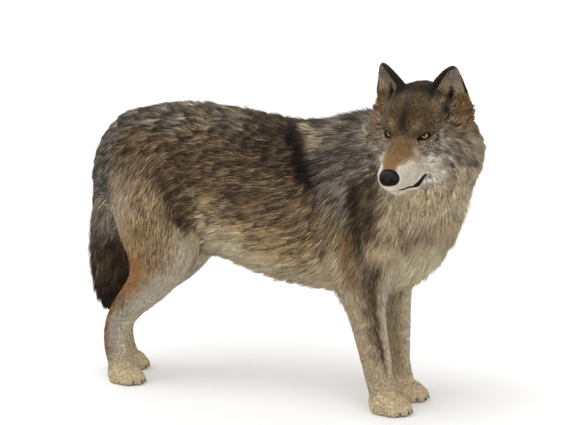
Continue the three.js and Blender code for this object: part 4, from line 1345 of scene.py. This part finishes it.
def eye_material(look):
    nodes = Nodes("eye_gloss", 0.07, Specular_IOR_Level=0.14)
    iris, rim, pupil = look.iris, look.rim, look.pupil
    rays = nodes.add("Math", operation="MULTIPLY_ADD")
    nodes.join(nodes.spread(nodes.noise(1400), -0.008, 0.008), rays.inputs[0])
    rays.inputs[1].default_value = 1.0
    nodes.join(nodes.attribute("off_gaze", "Fac"), rays.inputs[2])
    black = paint_colour(0.016, 0.013, 0.011)
    # Painted shade: the eyeball beyond the iris's black edge dark brown, as shaded by the lids.
    lid_shade = paint_colour(0.10, 0.07, 0.05)
    colour = nodes.ramp(rays.outputs[0], (0, black), (pupil, black), (pupil + 0.02, rim),
                        (pupil + 0.07, iris), (0.50, iris), (0.58, rim), (0.63, black), (0.80, lid_shade))
    return nodes.base(colour).material


def nose_material():
    nodes = Nodes("nose_leather", 0.42, Specular_IOR_Level=0.25)
    dark, worn = paint_colour(0.042, 0.040, 0.040), paint_colour(0.080, 0.075, 0.073)
    nodes.base(nodes.ramp(nodes.noise(180), (0.35, dark), (0.75, worn)))
    place, cells = nodes.add("TexCoord"), nodes.add("TexVoronoi", Scale=900)
    nodes.join(place.outputs["Object"], cells.inputs["Vector"])
    return nodes.bump(cells.outputs["Distance"], 0.55, 0.0006).material


def claw_material():
    nodes = Nodes("claw_horn", 0.38)
    horn, pale = paint_colour(0.13, 0.115, 0.10), paint_colour(0.34, 0.29, 0.24)
    nodes.base(nodes.ramp(nodes.noise(240), (0.3, horn), (0.8, pale)))
    return nodes.bump(nodes.noise(700), 0.3, 0.0004).material


# ------------------------------------------------------- eyes, nose and coat

CORNEA = 0.0012                  # how far the cornea stands out from the eyeball
EYE_RINGS, EYE_SECTORS = 40, 48


def eye_mesh(side, gaze):
    """An eyeball with its cornea's bulge, rings of points round the gaze."""
    centre = in_head(EYE * (1, side, 1))
    out = unit(np.asarray(gaze, float))
    wide = unit(np.cross(UP, out))
    up = np.cross(out, wide)
    rings, sectors = EYE_RINGS, EYE_SECTORS
    verts, off, faces = [centre + out * (EYE_RADIUS + CORNEA)], [0.0], []
    for i in range(1, rings):
        angle = np.pi * i / rings
        radius = EYE_RADIUS + CORNEA * float(smoothstep(0.62, 0.35, angle))
        for j in range(sectors):
            turn = 2 * np.pi * j / sectors
            round_it = wide * np.cos(turn) + up * np.sin(turn)
            verts.append(centre + radius * (out * np.cos(angle) + round_it * np.sin(angle)))
            off.append(angle)
    verts.append(centre - out * EYE_RADIUS)
    off.append(np.pi)
    for j in range(sectors):
        k = (j + 1) % sectors
        faces.append((0, 1 + j, 1 + k))
        for i in range(rings - 2):
            a, b = 1 + i * sectors + j, 1 + i * sectors + k
            faces += [(a, a + sectors, b + sectors), (a, b + sectors, b)]
        a = 1 + (rings - 2) * sectors
        faces.append((a + j, len(verts) - 1, a + k))
    return np.array(verts), np.array(faces), np.array(off)


def nose_distance(p):
    """The nose pad, with its nostrils and the groove below them."""
    q = from_head(p) - NOSE
    d = (np.linalg.norm(q / NOSE_RADII, axis=1) - 1) * NOSE_RADII.min()
    groove = np.hypot(q[:, 1], 0.6 * (q[:, 0] - 0.017)) - 0.0022
    ends = 0.01 * smoothstep(-0.002, 0.006, q[:, 2])
    d = smooth_max(d, -groove - ends, 0.003)
    for side in (1, -1):
        hole = (q - (0.0115, side * 0.0100, -0.001)) / (0.0090, 0.0052, 0.0058)
        slit = (q - (0.0060, side * 0.0190, -0.0045)) / (0.0085, 0.0050, 0.0026)
        for shape, size in ((hole, 0.0052), (slit, 0.0030)):
            d = smooth_max(d, -(np.linalg.norm(shape, axis=1) - 1) * size, 0.0016)
    return d


def coat_pieces(surface):
    """Which part of the coat each owned face of the skin belongs to."""
    used = surface.used
    centre = surface.verts[used].mean(1)
    shares = surface.shares[used].mean(1)
    normal = surface.face_normal
    group = np.array(GROUPS)[shares.argmax(1)]
    left = centre[:, 1] > 0
    right_of_neck = (centre[:, 1] - np.interp(centre[:, 0], [0.3, 0.5], [0.0, -0.09])) < 0
    name = np.full(len(used), "coat_flank_right", object)
    name[left] = "coat_flank_left"
    name[(normal[:, 2] > 0.55) & (group == "trunk")] = "coat_back"
    neck = group == "neck"
    name[neck & right_of_neck] = "coat_neck_right"
    name[neck & ~right_of_neck] = "coat_neck_left"
    name[group == "chest"] = "coat_chest"
    name[group == "tail"] = "coat_tail"
    name[group == "ruff"] = "coat_ruff"
    for kind, piece in (("hindleg", "coat_hind"), ("foreleg", "coat_fore")):
        name[(group == kind) & left] = piece + "_left"
        name[(group == kind) & ~left] = piece + "_right"
    name[group == "paw"] = "coat_paws"
    name[np.isin(group, ["crown", "cheek", "muzzle", "nape"])] = "coat_head"
    name[group == "ear"] = "coat_ears"
    return name


def unwraps_of(name):
    """The flat map of each piece of the coat."""
    trunk, neck = trunk_and_neck()[:2]
    everywhere = lambda p: np.ones(len(p), bool)
    head_map = Unwrap(WHOLE_MAP, centre=in_head((-0.03, 0, -0.03)), axes=HEAD)
    if name in ("coat_head", "coat_ruff"):
        return [(everywhere, head_map)]
    if name == "coat_ears":
        return [(lambda p, s=s: from_head(p)[:, 1] * s > 0,
                 Unwrap((0.5 * (s < 0), 0, 0.5 + 0.5 * (s < 0), 1), ear_rows(s), HEAD[1])) for s in (1, -1)]
    if name == "coat_paws":
        maps = []
        for i, (heel, side, _) in enumerate(PAWS):
            middle = np.array([heel + 0.015, side * FOOT_Y, 0.004])
            window = (0.5 * (i % 2), 0.5 * (i // 2), 0.5 * (i % 2) + 0.5, 0.5 * (i // 2) + 0.5)
            nearby = lambda p, m=middle: np.abs(p - m).max(1) < 0.10
            maps.append((nearby, Unwrap(window, centre=middle)))
        return maps
    if name == "coat_tail":
        return [(everywhere, Unwrap(WHOLE_MAP, smooth_rows(TAIL_ROWS, 2), LEFTWARD))]
    for side, word in ((1, "left"), (-1, "right")):
        fore, hind = leg_forms(side)
        if name == "coat_hind_" + word:
            return [(everywhere, Unwrap(WHOLE_MAP, hind.rows, LEFTWARD))]
        if name == "coat_fore_" + word:
            return [(everywhere, Unwrap(WHOLE_MAP, fore.rows, LEFTWARD))]
    form = neck if name.startswith(("coat_neck", "coat_chest")) else trunk
    return [(everywhere, Unwrap(WHOLE_MAP, form.rows, LEFTWARD))]


def ear_rows(side):
    return np.array([in_head((ahead, side * left, up)) for ahead, left, up, *_ in EAR_ROWS])


# ring: where a tuft is widest; gather and lock: how strongly and how widely tufts draw
# together; common: how alike a lock's tufts are; the root's tone against the tip's sets the painted shade at
# the root.
PLAIN = {"deep": 0.75, "swerve": 0.16, "ragged": 0.16, "face": False}
LONG = {**PLAIN, "ring": 0.42, "gather": 0.66, "lock": 0.014, "width": 1.4, "common": 0.75}
SOFT = {**PLAIN, "ring": 0.42, "gather": 0.58, "lock": 0.012, "width": 1.35, "common": 0.6}
MEDIUM = {**PLAIN, "ring": 0.40, "gather": 0.25, "lock": 0.008, "width": 1.15, "common": 0.2,
          "deep": 0.95, "swerve": 0.10}
SHORT = {**PLAIN, "ring": 0.40, "gather": 0.20, "lock": 0.006, "width": 1.25, "common": 0.2,
         "deep": 0.9, "swerve": 0.10, "ragged": 0.10}
FACE = {**SHORT, "face": True}
# piece, tufts asked for, style, the CAD's material slot
COAT = {
    "trunk": [("coat_back", 24000, LONG, "dark_coat"), ("coat_flank_left", 21000, SOFT, "coat"),
              ("coat_flank_right", 26000, SOFT, "coat")],
    "neck": [("coat_neck_left", 15000, SOFT, "coat"), ("coat_neck_right", 18000, SOFT, "coat"),
             ("coat_chest", 16000, SOFT, "pale_coat"), ("coat_ruff", 20000, SOFT, "coat")],
    "tail": [("coat_tail", 13000, LONG, "dark_coat")],
    "legs": [("coat_hind_left", 14000, MEDIUM, "pale_coat"), ("coat_hind_right", 18000, MEDIUM, "pale_coat"),
             ("coat_fore_left", 13000, MEDIUM, "pale_coat"), ("coat_fore_right", 16000, MEDIUM, "pale_coat"),
             ("coat_paws", 8000, SHORT, "pale_coat")],
    "head": [("coat_head", 32000, FACE, "coat"), ("coat_ears", 8000, SHORT, "dark_coat")],
}


def grow_coat(part, look):
    skin = surface()
    names = coat_pieces(skin)
    areas = skin.area[skin.owned]
    hair = skin.hair[skin.used].mean(1)
    material = bpy.data.materials.get("coat_hair") or coat_material()
    for piece, count, style, slot in COAT[part]:
        rng = np.random.default_rng(SEED + sum(map(ord, piece)))
        faces = np.flatnonzero(names == piece)
        weights = areas[faces] / np.clip(hair[faces], 0.004, 0.2) ** 1.2
        count = int(count * look.density)
        style = {**style, "gather": style["gather"] * look.gather, "length": look.length}
        tufts = Tufts(skin, faces, weights, count, style, rng)
        tufts.grow()
        verts, tris, colours, uv = tufts.mesh(unwraps_of(piece))
        obj = make_object(piece, verts, tris)
        colour_points(obj, "tone", colours)
        map_points(obj, uv)
        finish_piece(obj, material, slot)


# ---------------------------------------------------------------- settings

def colour_setting(name, description, rgb):
    return bpy.props.FloatVectorProperty(name=name, description=description, subtype="COLOR",
                                         default=tuple(paint_colour(*rgb)), min=0, max=1)


def amount(name, description, default, low=0.0, high=10.0, **more):
    return bpy.props.FloatProperty(name=name, description=description, default=default,
                                   min=low, max=high, **more)


class WolfSkinSettings(bpy.types.PropertyGroup):
    fineness: amount("Fineness", "Size of the skin's faces, 1 is the finished size", 1.0, 0.8, 4.0)


class WolfCoatSettings(bpy.types.PropertyGroup):
    density: amount("Density", "Number of tufts, 1 is the finished number", 1.0, 0.05, 1.2)
    length: amount("Length", "Length of the hair against its natural length", 1.0, 0.5, 1.3)
    gather: amount("Gather", "How strongly tufts draw together into locks", 1.0, 0.0, 1.5)


class WolfEyeSettings(bpy.types.PropertyGroup):
    iris: colour_setting("Iris", "Colour of the iris", (0.68, 0.56, 0.32))
    rim: colour_setting("Iris rim", "Colour of the iris at its edge", (0.38, 0.26, 0.12))
    pupil: amount("Pupil", "Half angle of the pupil seen from the eye's centre", 0.17, 0.05, 0.4)
    toward: amount("Glance", "How far the eyes turn from straight ahead to the front", 0.5, 0.0, 1.0)


class WolfStageSettings(bpy.types.PropertyGroup):
    distance: amount("Camera distance", "From the camera to the wolf", 6.0, 1.0, 20.0, unit="LENGTH")
    width: amount("View width", "Width of the view at the wolf", 1.479, 0.1, 10.0, unit="LENGTH")
    azimuth: amount("Azimuth", "Camera's turn round the wolf", np.radians(25), -3.2, 3.2, unit="ROTATION")
    elevation: amount("Elevation", "Camera's height as an angle", np.radians(10), 0.0, 1.5, unit="ROTATION")
    floor: colour_setting("Floor", "Colour of the floor and backdrop", (0.88, 0.88, 0.89))


class WOLF_OT_skin(bpy.types.Operator):
    """The wolf's skin in one piece, in the colours of its coat, darkened with painted shade between the
    locks
    """
    bl_idname = "wolf.skin"
    bl_label = "Skin"

    def execute(self, context):
        skin = surface()
        obj = make_object("skin", skin.verts, skin.quads)
        marks = Markings(skin.verts, skin.shares, skin.normal)
        # Painted shade: the skin darker than its coat, as the shade between the locks, and less so where the
        # hair is short.
        short = smoothstep(0.040, 0.016, skin.hair)[:, None]
        tone = marks.base * (0.55 + 0.35 * short)
        tone += np.clip(marks.dark, 0, 1)[:, None] * (marks.tip - tone) * 0.75
        bare = bare_skin(from_head(skin.verts))[:, None]
        tone += bare * (BLACK * 0.6 - tone)
        pads = smoothstep(0.006, 0.002, skin.verts[:, 2])[:, None]
        tone += pads * (BLACK - tone)
        colour_points(obj, "tone", tone)
        finish_piece(obj, skin_material(), "coat", *SKIN_NODES)
        return {"FINISHED"}


class WOLF_OT_eyes(bpy.types.Operator):
    """Both eyes, set in the sockets"""
    bl_idname = "wolf.eyes"
    bl_label = "Eyes"

    def execute(self, context):
        look = context.scene.wolf_eyes
        material = eye_material(look)
        for side, word in ((1, "left"), (-1, "right")):
            gaze = unit(HEAD[0] + 0.12 * side * HEAD[1])
            gaze = gaze + look.toward * (camera_direction(context.scene.wolf_stage) - gaze)
            verts, faces, off = eye_mesh(side, gaze)
            obj = make_object(f"eyeball_{word}", verts, faces)
            value_points(obj, "off_gaze", off)
            finish_piece(obj, material, "eye", f"eye_{word}")
        return {"FINISHED"}


class WOLF_OT_nose(bpy.types.Operator):
    """The nose pad with its nostrils"""
    bl_idname = "wolf.nose"
    bl_label = "Nose"

    def execute(self, context):
        reach = NOSE_RADII + 0.004
        verts, quads = polygonise(nose_distance, NOSE - reach, NOSE + reach, EYE_STEP, in_head)
        obj = make_object("nose_pad", verts, quads)
        finish_piece(obj, nose_material(), "nose_pad", "nose")
        return {"FINISHED"}


class WOLF_OT_claws(bpy.types.Operator):
    """Horn for the claws, whose shapes are the frame's own"""
    bl_idname = "wolf.claws"
    bl_label = "Claws"

    def execute(self, context):
        horn = claw_material()
        for name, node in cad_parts.items():
            if name.startswith("claw_"):
                node.material_slots[0].material = horn
        return {"FINISHED"}


class CoatOperator:
    def execute(self, context):
        grow_coat(self.part, context.scene.wolf_coat)
        return {"FINISHED"}


class WOLF_OT_coat_trunk(CoatOperator, bpy.types.Operator):
    """Coat of the back and flanks"""
    bl_idname = "wolf.coat_trunk"
    bl_label = "Trunk coat"
    part = "trunk"


class WOLF_OT_coat_neck(CoatOperator, bpy.types.Operator):
    """Coat of the neck, chest and ruff"""
    bl_idname = "wolf.coat_neck"
    bl_label = "Neck coat"
    part = "neck"


class WOLF_OT_coat_tail(CoatOperator, bpy.types.Operator):
    """Coat of the tail"""
    bl_idname = "wolf.coat_tail"
    bl_label = "Tail coat"
    part = "tail"


class WOLF_OT_coat_legs(CoatOperator, bpy.types.Operator):
    """Coat of the legs and paws"""
    bl_idname = "wolf.coat_legs"
    bl_label = "Leg coat"
    part = "legs"


class WOLF_OT_coat_head(CoatOperator, bpy.types.Operator):
    """Short coat of the head and ears"""
    bl_idname = "wolf.coat_head"
    bl_label = "Head coat"
    part = "head"


def camera_direction(stage):
    a, e = stage.azimuth, stage.elevation
    return np.array([np.sin(a) * np.cos(e), -np.cos(a) * np.cos(e), np.sin(e)])


VIEW_CENTRE = np.array([0.0900, 0.0, 0.4751])   # what the camera looks at, on the body's axes
FLOOR_REACH = 60.0


def aim(obj, place, target):
    obj.location = place
    obj.rotation_euler = (Vector(target) - Vector(place)).to_track_quat("-Z", "Y").to_euler()


def add_lamp(name, place, spread, strength):
    """A soft lamp so far off that it lights all the floor alike."""
    lamp = bpy.data.lights.new(name, "SUN")
    lamp.angle, lamp.energy = np.radians(spread), strength
    obj = bpy.data.objects.new(name, lamp)
    bpy.context.scene.collection.objects.link(obj)
    aim(obj, place, (0, 0, 0))


class WOLF_OT_stage(bpy.types.Operator):
    """Floor, soft light and camera"""
    bl_idname = "wolf.stage"
    bl_label = "Stage"

    def execute(self, context):
        look, scene = context.scene.wolf_stage, context.scene
        self.floor(look)
        self.world(scene)
        add_lamp("overhead", (-0.6, -1.2, 3.0), 50, 1.2)
        add_lamp("side", (3.0, -4.0, 2.6), 40, 0.6)
        add_lamp("rear", (-3.0, 3.0, 3.0), 50, 0.4)
        camera = bpy.data.cameras.new("camera")
        camera.lens = camera.sensor_width * look.distance / look.width
        obj = bpy.data.objects.new("camera", camera)
        scene.collection.objects.link(obj)
        target = VIEW_CENTRE + shift()
        aim(obj, target + look.distance * camera_direction(look), target)
        scene.camera = obj
        scene.view_settings.view_transform = "Standard"
        return {"FINISHED"}

    def floor(self, look):
        ends = (-FLOOR_REACH, FLOOR_REACH)
        verts = np.array([(x, y, 0.0) for y in ends for x in ends]) - shift()
        obj = make_object("floor", verts, np.array([(0, 1, 3, 2)]), smooth=False)
        nodes = Nodes("floor_paint", 0.9)
        ray = nodes.add("LightPath").outputs["Is Camera Ray"]
        colour = nodes.add("Mix", data_type="RGBA")
        nodes.join(ray, colour.inputs[0])
        colour.inputs[6].default_value = (*look.floor, 1)
        colour.inputs[7].default_value = (0.97, 0.97, 0.975, 1)
        nodes.base(colour.outputs[2])
        obj.data.materials.append(nodes.material)

    def world(self, scene):
        world = bpy.data.worlds.new("studio")
        scene.world = world
        world.use_nodes = True
        tree = world.node_tree
        ground = tree.nodes["Background"]
        ground.inputs["Color"].default_value = (1.0, 0.985, 0.96, 1)
        ground.inputs["Strength"].default_value = 0.72
        plain = tree.nodes.new("ShaderNodeBackground")
        plain.inputs["Color"].default_value = (0.93, 0.93, 0.94, 1)
        ray, mix = tree.nodes.new("ShaderNodeLightPath"), tree.nodes.new("ShaderNodeMixShader")
        tree.links.new(ray.outputs["Is Camera Ray"], mix.inputs[0])
        tree.links.new(ground.outputs[0], mix.inputs[1])
        tree.links.new(plain.outputs[0], mix.inputs[2])
        tree.links.new(mix.outputs[0], tree.nodes["World Output"].inputs["Surface"])


class WOLF_PT_panel(bpy.types.Panel):
    """The wolf's settings and the steps that build it"""
    bl_idname = "WOLF_PT_panel"
    bl_label = "Wolf"
    bl_space_type = "VIEW_3D"
    bl_region_type = "UI"
    bl_category = "Wolf"

    def draw(self, context):
        for name, settings in SETTINGS.items():
            box = self.layout.box()
            for field in settings.__annotations__:
                box.prop(getattr(context.scene, name), field)
        for step in STEPS:
            self.layout.operator(step.bl_idname)


SKIN_NODES = [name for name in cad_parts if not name.startswith(("claw_", "eye_", "nose"))]
SETTINGS = {"wolf_skin": WolfSkinSettings, "wolf_coat": WolfCoatSettings,
            "wolf_eyes": WolfEyeSettings, "wolf_stage": WolfStageSettings}
STEPS = (WOLF_OT_stage, WOLF_OT_skin, WOLF_OT_eyes, WOLF_OT_nose, WOLF_OT_claws, WOLF_OT_coat_trunk,
         WOLF_OT_coat_neck, WOLF_OT_coat_tail, WOLF_OT_coat_legs, WOLF_OT_coat_head)


def register():
    for kind in (*SETTINGS.values(), *STEPS, WOLF_PT_panel):
        bpy.utils.register_class(kind)
    for name, settings in SETTINGS.items():
        setattr(bpy.types.Scene, name, bpy.props.PointerProperty(type=settings))


def unregister():
    for name in SETTINGS:
        delattr(bpy.types.Scene, name)
    for kind in (WOLF_PT_panel, *reversed(STEPS), *SETTINGS.values()):
        bpy.utils.unregister_class(kind)


def main():
    register()
    for step in STEPS:
        getattr(bpy.ops.wolf, step.bl_idname.split(".")[1])()


if __name__ == "__main__":
    main()
